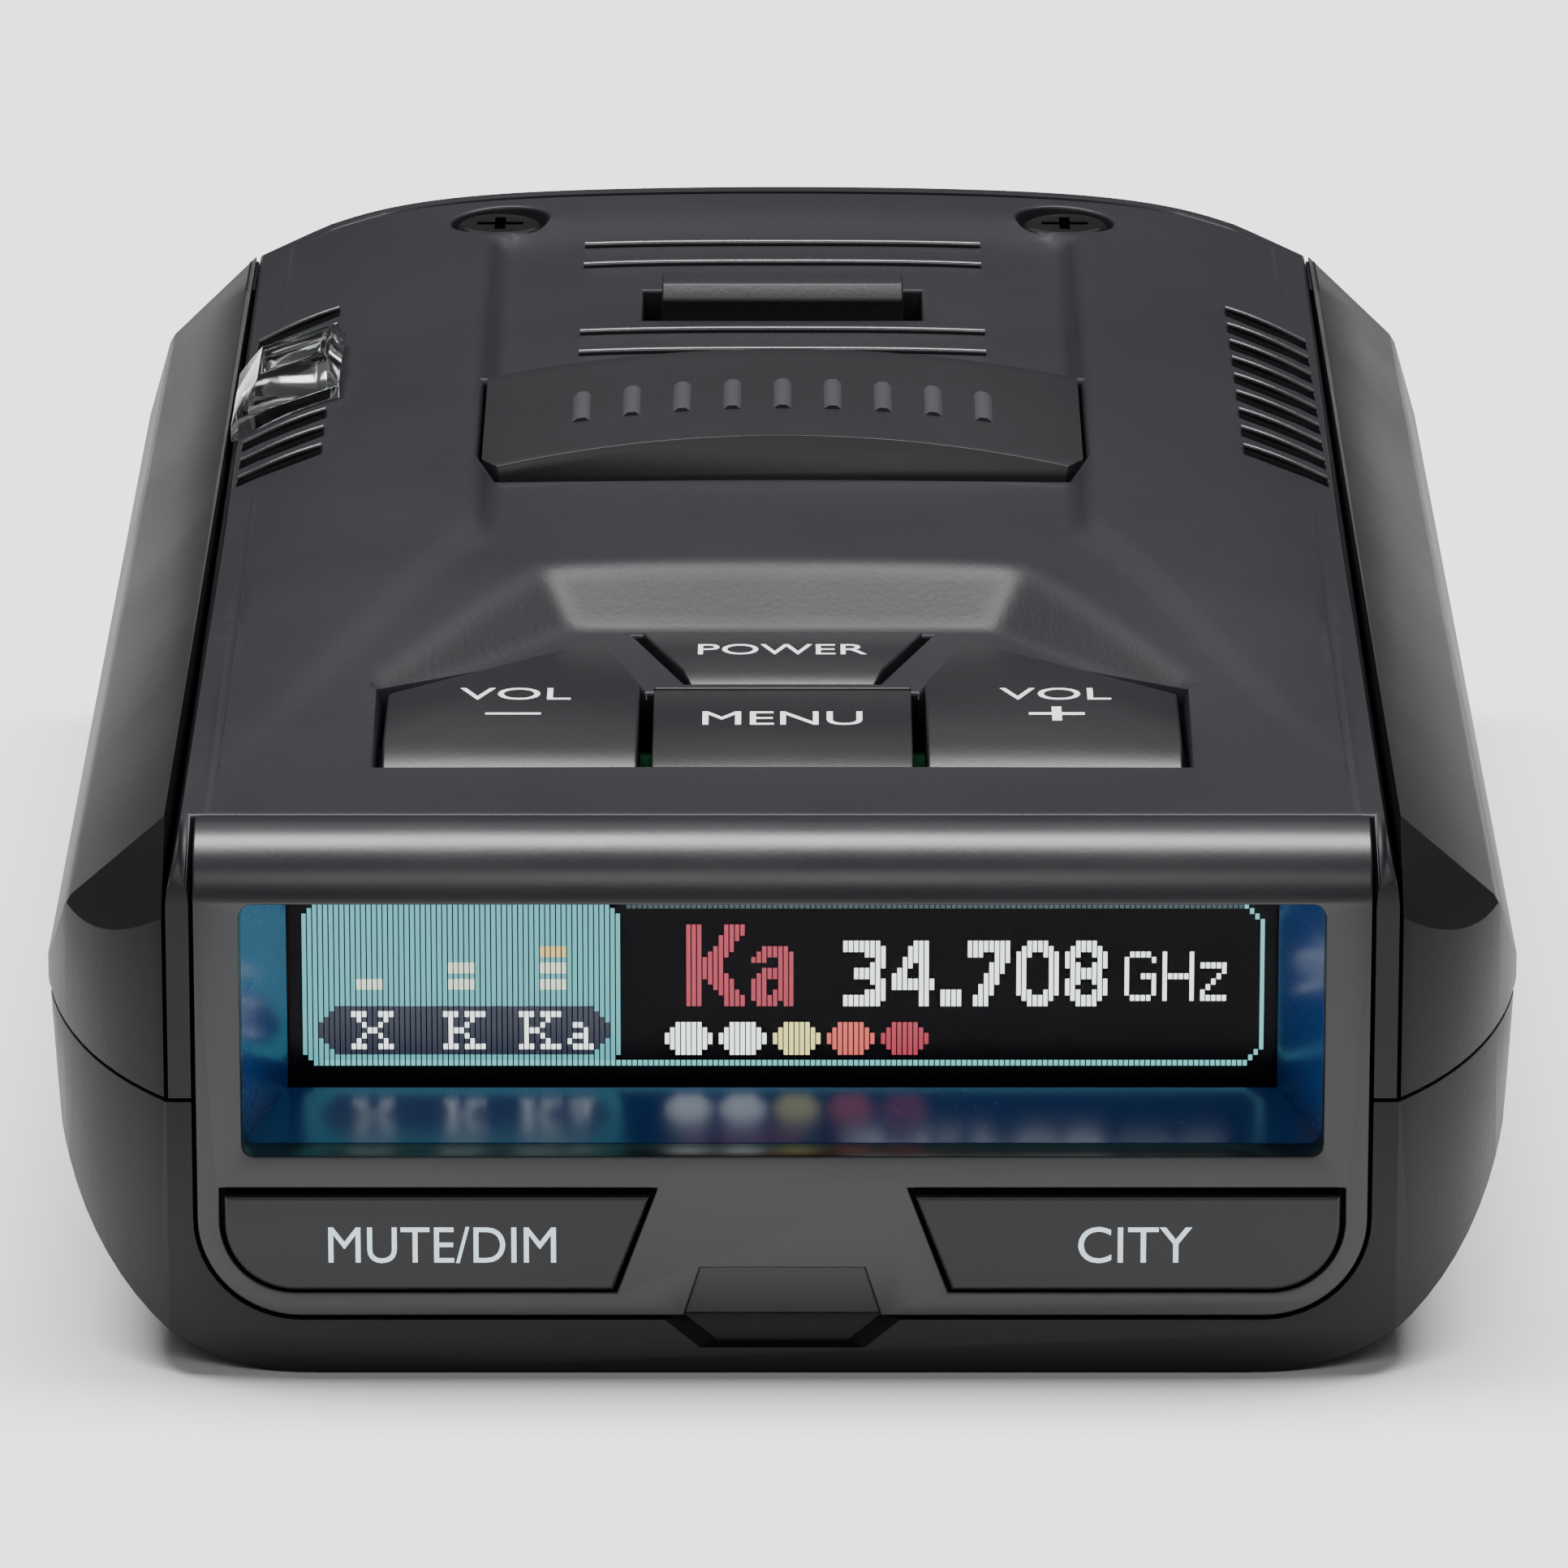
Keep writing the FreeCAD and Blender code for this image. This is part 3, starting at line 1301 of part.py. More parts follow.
def deck_screw_group():
    """The two screws at the far end of the deck."""
    screws = []
    seat = deck_seat()
    for x, y in deck_screws():
        head = upright(deck_head_radius, x, y, seat, seat + head_height)
        edge = edges_where(head, lambda p: abs(p.z - seat - head_height) < 0.01)
        head = head.makeFillet(0.6, edge)
        shank = upright(screw_radius, x, y, board_top + 2.6, seat + 0.2)
        screws.append(fuse([head, shank]).cut(cross_recess(x, y, seat + head_height, 1.0, 1.3)))
    return group(screws)


def underside_label():
    """Blank label in its shallow recess."""
    edge = fit_gap
    return box(-label_half + edge, label_half - edge, label_front + edge, label_back - edge,
               touch_gap, touch_gap + label_thickness)


# --- Build and write -------------------------------------------------------------------------------

def build():
    """All the nodes, by name."""
    upper = panel_ribs(top_housing())
    volume = volume_button()
    face_right = face_button()
    panel = side_panel()
    frame, cone, magnet, gasket = speaker_parts()
    return {
        "top_housing": upper,
        "bottom_housing": bottom_housing(),
        "side_panel_right": panel,
        "side_panel_left": mirror_x(panel),
        "display_bezel": display_bezel(),
        "display_hood": display_hood(),
        "display_lens": lens_block(0.0),
        "display_panel": display_panel(),
        "display_flex_cable": display_flex(),
        "menu_button": menu_button(),
        "power_button": power_button(),
        "volume_up_button": volume,
        "volume_down_button": mirror_x(volume),
        "city_button": face_right,
        "mute_dim_button": mirror_x(face_right),
        "top_button_board": top_button_board(),
        "top_tact_switches": top_switches(),
        "face_button_board": face_button_board(),
        "face_tact_switches": face_switches(),
        "release_plate": release_plate(),
        "mount_latch": mount_latch(),
        "release_springs": release_springs(),
        "latch_retainer": latch_retainer(),
        "main_board": main_board(),
        "board_chips": board_chips(),
        "rf_shield_can": shield_can(),
        "gps_antenna": gps_antenna(),
        "horn_antenna": horn_antenna(),
        "antenna_window": antenna_window(),
        "front_laser_lens": front_laser_lens(),
        "front_laser_sensor": front_laser_sensor(),
        "rear_light_pipe": light_pipe(top_skin()),
        "rear_laser_sensor": rear_laser_sensor(),
        "speaker_frame": frame,
        "speaker_cone": cone,
        "speaker_magnet": magnet,
        "speaker_gasket": gasket,
        "power_socket": round_socket(power_socket_y, power_bore),
        "audio_socket": round_socket(audio_socket_y, audio_bore),
        "usb_socket": usb_socket(),
        "case_screws": case_screw_group(),
        "deck_screws": deck_screw_group(),
        "underside_label": underside_label(),
    }


os.makedirs("parts", exist_ok=True)
for node, shape in build().items():
    placed = shape.copy()
    placed.translate(V(0, row_shift, 0))
    placed.exportStep("parts/" + node + ".step")
    bounds = placed.BoundBox
    print(node, "solids", len(placed.Solids), "valid", placed.isValid(), "volume", round(placed.Volume, 1),
          "x", round(bounds.XMin, 2), round(bounds.XMax, 2),
          "y", round(bounds.YMin, 2), round(bounds.YMax, 2),
          "z", round(bounds.ZMin, 2), round(bounds.ZMax, 2))
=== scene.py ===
"""Radar detector: the finishes, the crowned deck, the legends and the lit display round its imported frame.

Lengths in the classes are in millimetres, with Y measured back from the display bezel's face, as the
case is drawn; MM and frame_y turn them into the frame's metres.
"""
import logging
import math
from collections.abc import Callable
from dataclasses import dataclass, field
from enum import Enum

import bmesh
import bpy
import numpy as np
from mathutils import Matrix, Vector
from mathutils.geometry import delaunay_2d_cdt


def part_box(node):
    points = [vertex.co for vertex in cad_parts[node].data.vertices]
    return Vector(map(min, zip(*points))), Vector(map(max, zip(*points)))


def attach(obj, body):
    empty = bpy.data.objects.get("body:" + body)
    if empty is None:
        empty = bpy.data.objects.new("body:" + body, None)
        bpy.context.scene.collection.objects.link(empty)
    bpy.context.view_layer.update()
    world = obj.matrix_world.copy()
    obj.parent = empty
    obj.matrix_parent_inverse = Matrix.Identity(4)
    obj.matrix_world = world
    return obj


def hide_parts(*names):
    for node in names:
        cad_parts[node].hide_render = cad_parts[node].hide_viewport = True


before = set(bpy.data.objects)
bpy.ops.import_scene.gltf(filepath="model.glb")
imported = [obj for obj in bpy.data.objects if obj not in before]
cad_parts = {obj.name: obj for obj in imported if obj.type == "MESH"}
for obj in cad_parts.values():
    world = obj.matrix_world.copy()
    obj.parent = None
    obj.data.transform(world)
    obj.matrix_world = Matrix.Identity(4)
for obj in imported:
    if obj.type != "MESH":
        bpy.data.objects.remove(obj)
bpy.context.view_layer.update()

logging.basicConfig(level=logging.INFO, format="%(name)s: %(message)s")
log = logging.getLogger("detector")

MM = 0.001
BEZEL_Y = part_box("display_bezel")[0].y      # the bezel's face in the frame

Colour = tuple[float, float, float]
Point = tuple[float, float]


def frame_y(y: float) -> float:
    """Turns a depth behind the bezel's face, in millimetres, into the frame's Y in metres."""
    return BEZEL_Y + y * MM


# --- Node trees ------------------------------------------------------------------------------------

class Number:
    """A number socket that plain arithmetic can be written with."""

    def __init__(self, wiring: "Wiring", socket: bpy.types.NodeSocket) -> None:
        """Keeps the tree and the socket that the number comes from."""
        self.wiring = wiring
        self.socket = socket

    def maths(self, operation: str, *others: "Number | float") -> "Number":
        """Adds a Math node on this number and the others.

        Args:
            operation: The Math node's operation.
            *others: The other inputs, in order.

        Returns:
            The node's result.
        """
        return self.wiring.maths(operation, self, *others)

    def __add__(self, other: "Number | float") -> "Number":
        """The sum."""
        return self.maths("ADD", other)

    __radd__ = __add__

    def __sub__(self, other: "Number | float") -> "Number":
        """The difference."""
        return self.maths("SUBTRACT", other)

    def __rsub__(self, other: float) -> "Number":
        """The difference with this number last."""
        return self.wiring.maths("SUBTRACT", other, self)

    def __mul__(self, other: "Number | float") -> "Number":
        """The product."""
        return self.maths("MULTIPLY", other)

    __rmul__ = __mul__

    def __truediv__(self, other: "Number | float") -> "Number":
        """The quotient."""
        return self.maths("DIVIDE", other)

    def __pow__(self, power: float) -> "Number":
        """This number raised to a power."""
        return self.maths("POWER", power)

    def __abs__(self) -> "Number":
        """The number without its sign."""
        return self.maths("ABSOLUTE")

    def highest(self, other: "Number | float", reach: float = 0.0) -> "Number":
        """The higher of two numbers, blended where they are within a reach of each other."""
        return self.maths("SMOOTH_MAX", other, reach) if reach else self.maths("MAXIMUM", other)

    def lowest(self, other: "Number | float", reach: float = 0.0) -> "Number":
        """The lower of two numbers, blended where they are within a reach of each other."""
        return self.maths("SMOOTH_MIN", other, reach) if reach else self.maths("MINIMUM", other)

    def share(self, start: float, end: float) -> "Number":
        """How far the number has gone from start to end, kept between 0 and 1."""
        return ((self - start) / (end - start)).highest(0.0).lowest(1.0)


class Wiring:
    """Adds nodes to one shader or geometry tree."""

    def __init__(self, tree: bpy.types.NodeTree) -> None:
        """Keeps the tree."""
        self.tree = tree

    def add(self, kind: str, settings: dict | None = None, sockets: dict | None = None) -> bpy.types.Node:
        """Adds a node, sets it up and joins its inputs.

        Args:
            kind: The node's type.
            settings: The node's own settings, set first; "stops" fills a colour ramp.
            sockets: Values or links by input name or number.

        Returns:
            The new node.
        """
        node = self.tree.nodes.new(kind)
        for name, value in (settings or {}).items():
            if name == "stops":
                self.fill_ramp(node, value)
            else:
                setattr(node, name, value)
        for key, value in (sockets or {}).items():
            socket = node.inputs[key]
            if isinstance(value, Number):
                value = value.socket
            if isinstance(value, bpy.types.NodeSocket):
                self.tree.links.new(value, socket)
            else:
                socket.default_value = value
        return node

    @staticmethod
    def fill_ramp(node: bpy.types.Node, stops: list[tuple[float, Colour]]) -> None:
        """Gives a colour ramp its stops.

        Args:
            node: The ramp's node.
            stops: Places from 0 to 1 with their colours.
        """
        elements = node.color_ramp.elements
        while len(elements) < len(stops):
            elements.new(1.0)
        for element, (place, colour) in zip(elements, stops):
            element.position = place
            element.color = (*colour, 1.0)

    def maths(self, operation: str, *values: "Number | float") -> Number:
        """Adds a Math node and returns its result."""
        node = self.add("ShaderNodeMath", {"operation": operation}, dict(enumerate(values)))
        return Number(self, node.outputs[0])

    def number(self, socket: bpy.types.NodeSocket) -> Number:
        """Wraps a socket as a number."""
        return Number(self, socket)

    def axes(self, vector: bpy.types.NodeSocket) -> list[Number]:
        """Splits a vector into its three numbers."""
        split = self.add("ShaderNodeSeparateXYZ", sockets={0: vector})
        return [self.number(output) for output in split.outputs]

    def vector(self, x: Number, y: Number, z: Number) -> bpy.types.NodeSocket:
        """Joins three numbers into a vector."""
        return self.add("ShaderNodeCombineXYZ", sockets={0: x, 1: y, 2: z}).outputs[0]

    def blend(self, share: Number, first: Colour, second: Colour) -> bpy.types.NodeSocket:
        """Mixes two colours by a number from 0 to 1."""
        sockets = {"Factor": share, 6: (*first, 1.0), 7: (*second, 1.0)}
        return self.add("ShaderNodeMix", {"data_type": "RGBA"}, sockets).outputs[2]


# --- Finishes --------------------------------------------------------------------------------------

class Shader(Wiring):
    """The tree of one new material, with the textures that the finishes share."""

    def __init__(self, name: str) -> None:
        """Starts an empty material.

        Args:
            name: The material's name.
        """
        self.material = bpy.data.materials.new(name)
        self.material.use_nodes = True
        super().__init__(self.material.node_tree)
        self.tree.nodes.clear()
        self.place = self.add("ShaderNodeTexCoord").outputs["Object"]

    def stretched(self, scale: tuple[float, float, float]) -> bpy.types.NodeSocket:
        """The place on the object, scaled along each axis."""
        return self.add("ShaderNodeMapping", sockets={"Vector": self.place, "Scale": scale}).outputs[0]

    def noise(self, size: float, detail: float = 2.0, where: bpy.types.NodeSocket | None = None) -> Number:
        """Cloudy noise.

        Args:
            size: The size of its lumps in millimetres.
            detail: How many finer layers it has.
            where: The coordinates to read, or the place on the object.

        Returns:
            The noise, about 0.5 on average.
        """
        sockets = {"Vector": where or self.place, "Scale": 1.0 / (size * MM), "Detail": detail}
        return self.number(self.add("ShaderNodeTexNoise", sockets=sockets).outputs[0])

    def cells(self, size: float) -> Number:
        """Distance to the nearest of many scattered points, with cells of a size in millimetres."""
        sockets = {"Vector": self.place, "Scale": 1.0 / (size * MM)}
        return self.number(self.add("ShaderNodeTexVoronoi", sockets=sockets).outputs["Distance"])

    def bump(self, height: Number, depth: float) -> bpy.types.NodeSocket:
        """A bumped normal; depth is in millimetres."""
        return self.add("ShaderNodeBump", sockets={"Distance": depth * MM, "Height": height}).outputs[0]

    def surface(self, **sockets: object) -> bpy.types.Material:
        """Ends the material in a Principled shader.

        Args:
            **sockets: Its inputs, with _ for a space in their names.

        Returns:
            The material.
        """
        named = {key.replace("_", " "): value for key, value in sockets.items()}
        shader = self.add("ShaderNodeBsdfPrincipled", sockets=named)
        self.add("ShaderNodeOutputMaterial", sockets={"Surface": shader.outputs[0]})
        return self.material


_made: dict[str, bpy.types.Material] = {}


class Finish:
    """What every finish has: a name and a material that is made once."""

    name: str

    def build(self) -> bpy.types.Material:
        """Makes the material; each finish has its own."""
        raise NotImplementedError

    def material(self) -> bpy.types.Material:
        """The finish's material, made the first time that it is asked for."""
        if self.name not in _made:
            _made[self.name] = self.build()
        return _made[self.name]


def shaded(colour: Colour, share: float) -> Colour:
    """A colour made lighter or darker by a share."""
    return tuple(part * share for part in colour)


@dataclass(frozen=True)
class Moulded(Finish):
    """Moulded plastic: spark-eroded grain, faint flow marks and handling polish."""

    name: str
    colour: Colour
    roughness: float
    grain: float = 0.22       # size of the grain's lumps
    depth: float = 0.012      # height of the grain
    mottle: float = 0.10      # how much the colour varies
    polish: float = 0.07      # how much the roughness varies
    coat: float = 0.0
    specular: float = 0.30    # strength of its reflections

    def build(self) -> bpy.types.Material:
        """Makes the material."""
        tree = Shader(self.name)
        fine = tree.noise(self.grain)
        pits = tree.cells(self.grain * 1.7)
        clouds = tree.noise(14.0, 3.0)
        tint = clouds * 0.6 + fine * 0.4
        dark, pale = shaded(self.colour, 1.0 - self.mottle), shaded(self.colour, 1.0 + self.mottle)
        colour = tree.blend(tint, dark, pale)
        rough = (clouds - 0.5) * (2.0 * self.polish) + self.roughness + (fine - 0.5) * 0.06
        normal = tree.bump(fine * 0.7 + pits * 0.3, self.depth)
        return tree.surface(Base_Color=colour, Roughness=rough, Normal=normal, Coat_Weight=self.coat,
                            Coat_Roughness=0.12, Specular_IOR_Level=self.specular)


@dataclass(frozen=True)
class Metal(Finish):
    """Plated, drawn or cast metal, with its direction marks and small dents."""

    name: str
    colour: Colour
    roughness: float
    stretch: tuple[float, float, float] = (1.0, 1.0, 1.0)
    grain: float = 0.12
    depth: float = 0.004
    metallic: float = 1.0

    def build(self) -> bpy.types.Material:
        """Makes the material."""
        tree = Shader(self.name)
        marks = tree.noise(self.grain, 3.0, tree.stretched(self.stretch))
        stains = tree.noise(6.0, 4.0)
        colour = tree.blend(stains, shaded(self.colour, 0.82), shaded(self.colour, 1.08))
        rough = (marks - 0.5) * 0.16 + self.roughness + (stains - 0.5) * 0.12
        normal = tree.bump(marks, self.depth)
        return tree.surface(Base_Color=colour, Roughness=rough, Normal=normal, Metallic=self.metallic)


@dataclass(frozen=True)
class Laminate(Finish):
    """Green board: solder mask over copper tracks, with bright pads."""

    name: str = "board laminate"
    mask: Colour = (0.012, 0.085, 0.035)
    track: Colour = (0.03, 0.17, 0.07)
    pad: Colour = (0.62, 0.58, 0.45)

    def build(self) -> bpy.types.Material:
        """Makes the material."""
        tree = Shader(self.name)
        sockets = {"Vector": tree.place, "Scale": 1.0 / (7.0 * MM), "Mortar Size": 0.03,
                   "Color1": (0, 0, 0, 1), "Color2": (0, 0, 0, 1), "Mortar": (1, 1, 1, 1)}
        tracks = tree.number(tree.add("ShaderNodeTexBrick", sockets=sockets).outputs["Fac"])
        pads = (0.18 - tree.cells(3.1)).share(0.0, 0.01)
        green = tree.add("ShaderNodeMix", {"data_type": "RGBA"},
                         {"Factor": tracks, 6: (*self.mask, 1), 7: (*self.track, 1)}).outputs[2]
        colour = tree.add("ShaderNodeMix", {"data_type": "RGBA"},
                          {"Factor": pads, 6: green, 7: (*self.pad, 1)}).outputs[2]
        normal = tree.bump(tracks * 0.5 + pads * 0.5, 0.03)
        rough = 0.42 - pads * 0.15 + (tree.noise(1.0) - 0.5) * 0.1
        return tree.surface(Base_Color=colour, Roughness=rough, Metallic=pads * 0.8, Normal=normal)


@dataclass(frozen=True)
class Clear(Finish):
    """Clear plastic or glass, with faint flow lines and dust."""

    name: str
    colour: Colour
    roughness: float
    through: float = 1.0      # how much light passes
    alpha: float = 1.0

    def build(self) -> bpy.types.Material:
        """Makes the material."""
        tree = Shader(self.name)
        flow = tree.noise(3.0, 2.0, tree.stretched((1.0, 0.25, 1.0)))
        dust = tree.noise(0.4, 3.0)
        colour = tree.blend(dust, shaded(self.colour, 0.94), self.colour)
        rough = (dust - 0.5) * 0.05 + self.roughness
        return tree.surface(Base_Color=colour, Roughness=rough, Normal=tree.bump(flow, 0.01), IOR=1.49,
                            Transmission_Weight=self.through, Alpha=self.alpha)


@dataclass(frozen=True)
class Ink(Finish):
    """Printed legend ink, with a light edge-to-edge unevenness and its glow: a backlight on lit keys, a faint
    painted glow on unlit print.
    """

    name: str
    colour: Colour
    glow: float = 0.0

    def build(self) -> bpy.types.Material:
        """Makes the material."""
        tree = Shader(self.name)
        speckle = tree.noise(0.18, 3.0)
        colour = tree.blend(speckle, shaded(self.colour, 0.7), self.colour)
        rough = 0.5 + (speckle - 0.5) * 0.2
        return tree.surface(Base_Color=colour, Roughness=rough, Emission_Color=colour,
                            Emission_Strength=self.glow, Normal=tree.bump(speckle, 0.004))


@dataclass(frozen=True)
class Lit(Finish):
    """The display's dots: each dot glows in the colour that its point holds."""

    name: str = "lit dots"
    attribute: str = "dot_colour"
    strength: float = 1.0

    def build(self) -> bpy.types.Material:
        """Makes the material."""
        tree = Shader(self.name)
        colour = tree.add("ShaderNodeAttribute", {"attribute_name": self.attribute}).outputs["Color"]
        return tree.surface(Base_Color=(0.01, 0.01, 0.012, 1.0), Roughness=0.3, Emission_Color=colour,
                            Emission_Strength=self.strength)


CASE = Moulded("case plastic", (0.0105, 0.0105, 0.0128), 0.46, specular=0.22)
# Same plastic as the case; its lighter colour is painted highlight on the ribs and slot lips.
RIB_PAINTED_HIGHLIGHT = Moulded("rib plastic with painted highlight", (0.0300, 0.0300, 0.0330), 0.20, depth=0.003, specular=0.7)
PANEL = Moulded("panel plastic", (0.0050, 0.0052, 0.0052), 0.48, specular=0.14)
BEZEL = Moulded("bezel plastic", (0.0110, 0.0110, 0.0135), 0.32, depth=0.005, specular=0.46)
KEYS = Moulded("key plastic", (0.0085, 0.0085, 0.0102), 0.34, depth=0.005)
PLATE = Moulded("plate plastic", (0.0095, 0.0095, 0.0112), 0.38, depth=0.006)
# Same plastic as the plate; its lighter colour is painted glints on the grip bars.
GRIP_PAINTED_GLINT = Moulded("grip plastic with painted glints", (0.0450, 0.0450, 0.0500), 0.13, depth=0.002, specular=0.9)
TUNNEL = Moulded("tunnel plastic", (0.010, 0.045, 0.180), 0.24, grain=0.3, depth=0.004, specular=1.0)
NOSE = Moulded("nose plastic", (0.010, 0.010, 0.012), 0.14, depth=0.002, mottle=0.05)
FRAME_BLACK = Moulded("frame plastic", (0.022, 0.022, 0.022), 0.48)
CHIP = Moulded("chip epoxy", (0.020, 0.020, 0.021), 0.46, grain=0.1)
SOCKET = Moulded("socket plastic", (0.016, 0.016, 0.016), 0.40)
FOAM = Moulded("foam", (0.018, 0.018, 0.018), 0.92, grain=0.5, depth=0.15)
PAPER = Moulded("cone paper", (0.045, 0.045, 0.050), 0.80, grain=0.6, depth=0.04)
CERAMIC = Moulded("fired ceramic", (0.62, 0.52, 0.36), 0.62, grain=0.3)
FLEX = Moulded("flex film", (0.30, 0.13, 0.03), 0.30, grain=1.2, depth=0.01)
LABEL = Moulded("label film", (0.30, 0.31, 0.33), 0.34, grain=0.8, depth=0.004, mottle=0.03)
SCREEN = Moulded("screen glass", (0.0022, 0.0018, 0.0034), 0.25, depth=0.0005, mottle=0.02, specular=0.04)
CAST = Metal("cast metal", (0.56, 0.56, 0.54), 0.48, grain=0.5, depth=0.02)
TIN = Metal("tin plate", (0.64, 0.65, 0.66), 0.28, stretch=(1.0, 0.08, 1.0))
SPRING = Metal("spring wire", (0.52, 0.52, 0.53), 0.30)
SCREW = Metal("zinc screw", (0.50, 0.50, 0.50), 0.30)
DARK_SCREW = Metal("dark screw", (0.050, 0.050, 0.055), 0.22, metallic=0.9)
MAGNET = Metal("magnet plate", (0.45, 0.45, 0.46), 0.25)
LENS = Clear("display window", (0.02, 0.02, 0.03), 0.05, 0.0, 0.03)
PIPE = Clear("light pipe", (0.95, 0.95, 0.97), 0.06)
LASER = Clear("laser glass", (0.30, 0.02, 0.04), 0.05, 0.6)
# This printed ink's faint glow is a painted glow.
WHITE_INK_PAINTED_GLOW = Ink("white ink with painted glow", (0.78, 0.79, 0.83), 0.10)
LIT_INK = Ink("lit legend", (0.66, 0.80, 0.90), 0.75)
DOTS = Lit()


# --- Pieces ----------------------------------------------------------------------------------------

def new_piece(name: str, mesh: bpy.types.Mesh, body: str, finish: Finish,
              stands_for: tuple[str, ...] = ()) -> bpy.types.Object:
    """Puts a finished mesh in the scene as a piece.

    Args:
        name: The piece's name.
        mesh: Its mesh, already in its place.
        body: The body that it rides on.
        finish: Its finish.
        stands_for: CAD nodes that it replaces.

    Returns:
        The piece.
    """
    piece = bpy.data.objects.new(name, mesh)
    bpy.context.scene.collection.objects.link(piece)
    mesh.materials.clear()
    mesh.materials.append(finish.material())
    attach(piece, body)
    if stands_for:
        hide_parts(*stands_for)
    log.info("%s: %d faces", name, len(mesh.polygons))
    return piece


def smooth(mesh: bpy.types.Mesh, angle: float = 32.0) -> None:
    """Shades a mesh smooth, with the edges sharper than an angle in degrees kept crisp."""
    mesh.shade_smooth()
    mesh.set_sharp_from_angle(angle=math.radians(angle))


def evaluated(piece: bpy.types.Object) -> bpy.types.Mesh:
    """The mesh that an object's modifiers give, as a plain mesh."""
    graph = bpy.context.evaluated_depsgraph_get()
    return bpy.data.meshes.new_from_object(piece.evaluated_get(graph), depsgraph=graph)


def run_tree(name: str, mesh: bpy.types.Mesh, tree: bpy.types.NodeTree,
             inputs: dict[str, object]) -> bpy.types.Mesh:
    """Runs a Geometry Nodes tree on a mesh.

    Args:
        name: A name for the helper object.
        mesh: The mesh that goes in.
        tree: The tree.
        inputs: Values of its named inputs.

    Returns:
        The mesh that comes out.
    """
    helper = bpy.data.objects.new(name, mesh)
    bpy.context.scene.collection.objects.link(helper)
    modifier = helper.modifiers.new(name, "NODES")
    modifier.node_group = tree
    for item in tree.interface.items_tree:
        if item.item_type == "SOCKET" and item.in_out == "INPUT" and item.name in inputs:
            modifier[item.identifier] = inputs[item.name]
    result = evaluated(helper)
    helper.modifiers.clear()
    bpy.data.objects.remove(helper)
    return result


class Geometry(Wiring):
    """One new Geometry Nodes tree with named inputs."""

    def __init__(self, name: str, inputs: dict[str, str]) -> None:
        """Starts the tree.

        Args:
            name: The tree's name.
            inputs: Socket types by input name, after the geometry.
        """
        tree = bpy.data.node_groups.new(name, "GeometryNodeTree")
        super().__init__(tree)
        tree.interface.new_socket("Geometry", in_out="INPUT", socket_type="NodeSocketGeometry")
        for label, kind in inputs.items():
            tree.interface.new_socket(label, in_out="INPUT", socket_type=kind)
        tree.interface.new_socket("Geometry", in_out="OUTPUT", socket_type="NodeSocketGeometry")
        self.input = self.add("NodeGroupInput").outputs

    def value(self, name: str) -> Number:
        """A named input as a number."""
        return self.number(self.input[name])

    def attribute(self, name: str) -> Number:
        """A number kept on the mesh's points."""
        node = self.add("GeometryNodeInputNamedAttribute", {"data_type": "FLOAT"}, {0: name})
        return self.number(node.outputs[0])

    def place(self) -> list[Number]:
        """Each point's place."""
        return self.axes(self.add("GeometryNodeInputPosition").outputs[0])

    def moved(self, geometry: bpy.types.NodeSocket, place: bpy.types.NodeSocket) -> bpy.types.NodeSocket:
        """The geometry with its points put in new places."""
        sockets = {"Geometry": geometry, "Position": place}
        return self.add("GeometryNodeSetPosition", sockets=sockets).outputs[0]

    def finish(self, geometry: bpy.types.NodeSocket, finish: Finish) -> bpy.types.NodeTree:
        """Ends the tree: instances made real, a material set.

        Args:
            geometry: What the tree made.
            finish: The finish to set.

        Returns:
            The tree.
        """
        real = self.add("GeometryNodeRealizeInstances", sockets={0: geometry}).outputs[0]
        sockets = {"Geometry": real, "Material": finish.material()}
        dressed = self.add("GeometryNodeSetMaterial", sockets=sockets).outputs[0]
        self.add("NodeGroupOutput", sockets={0: dressed})
        return self.tree


# --- Crowned deck ----------------------------------------------------------------------------------

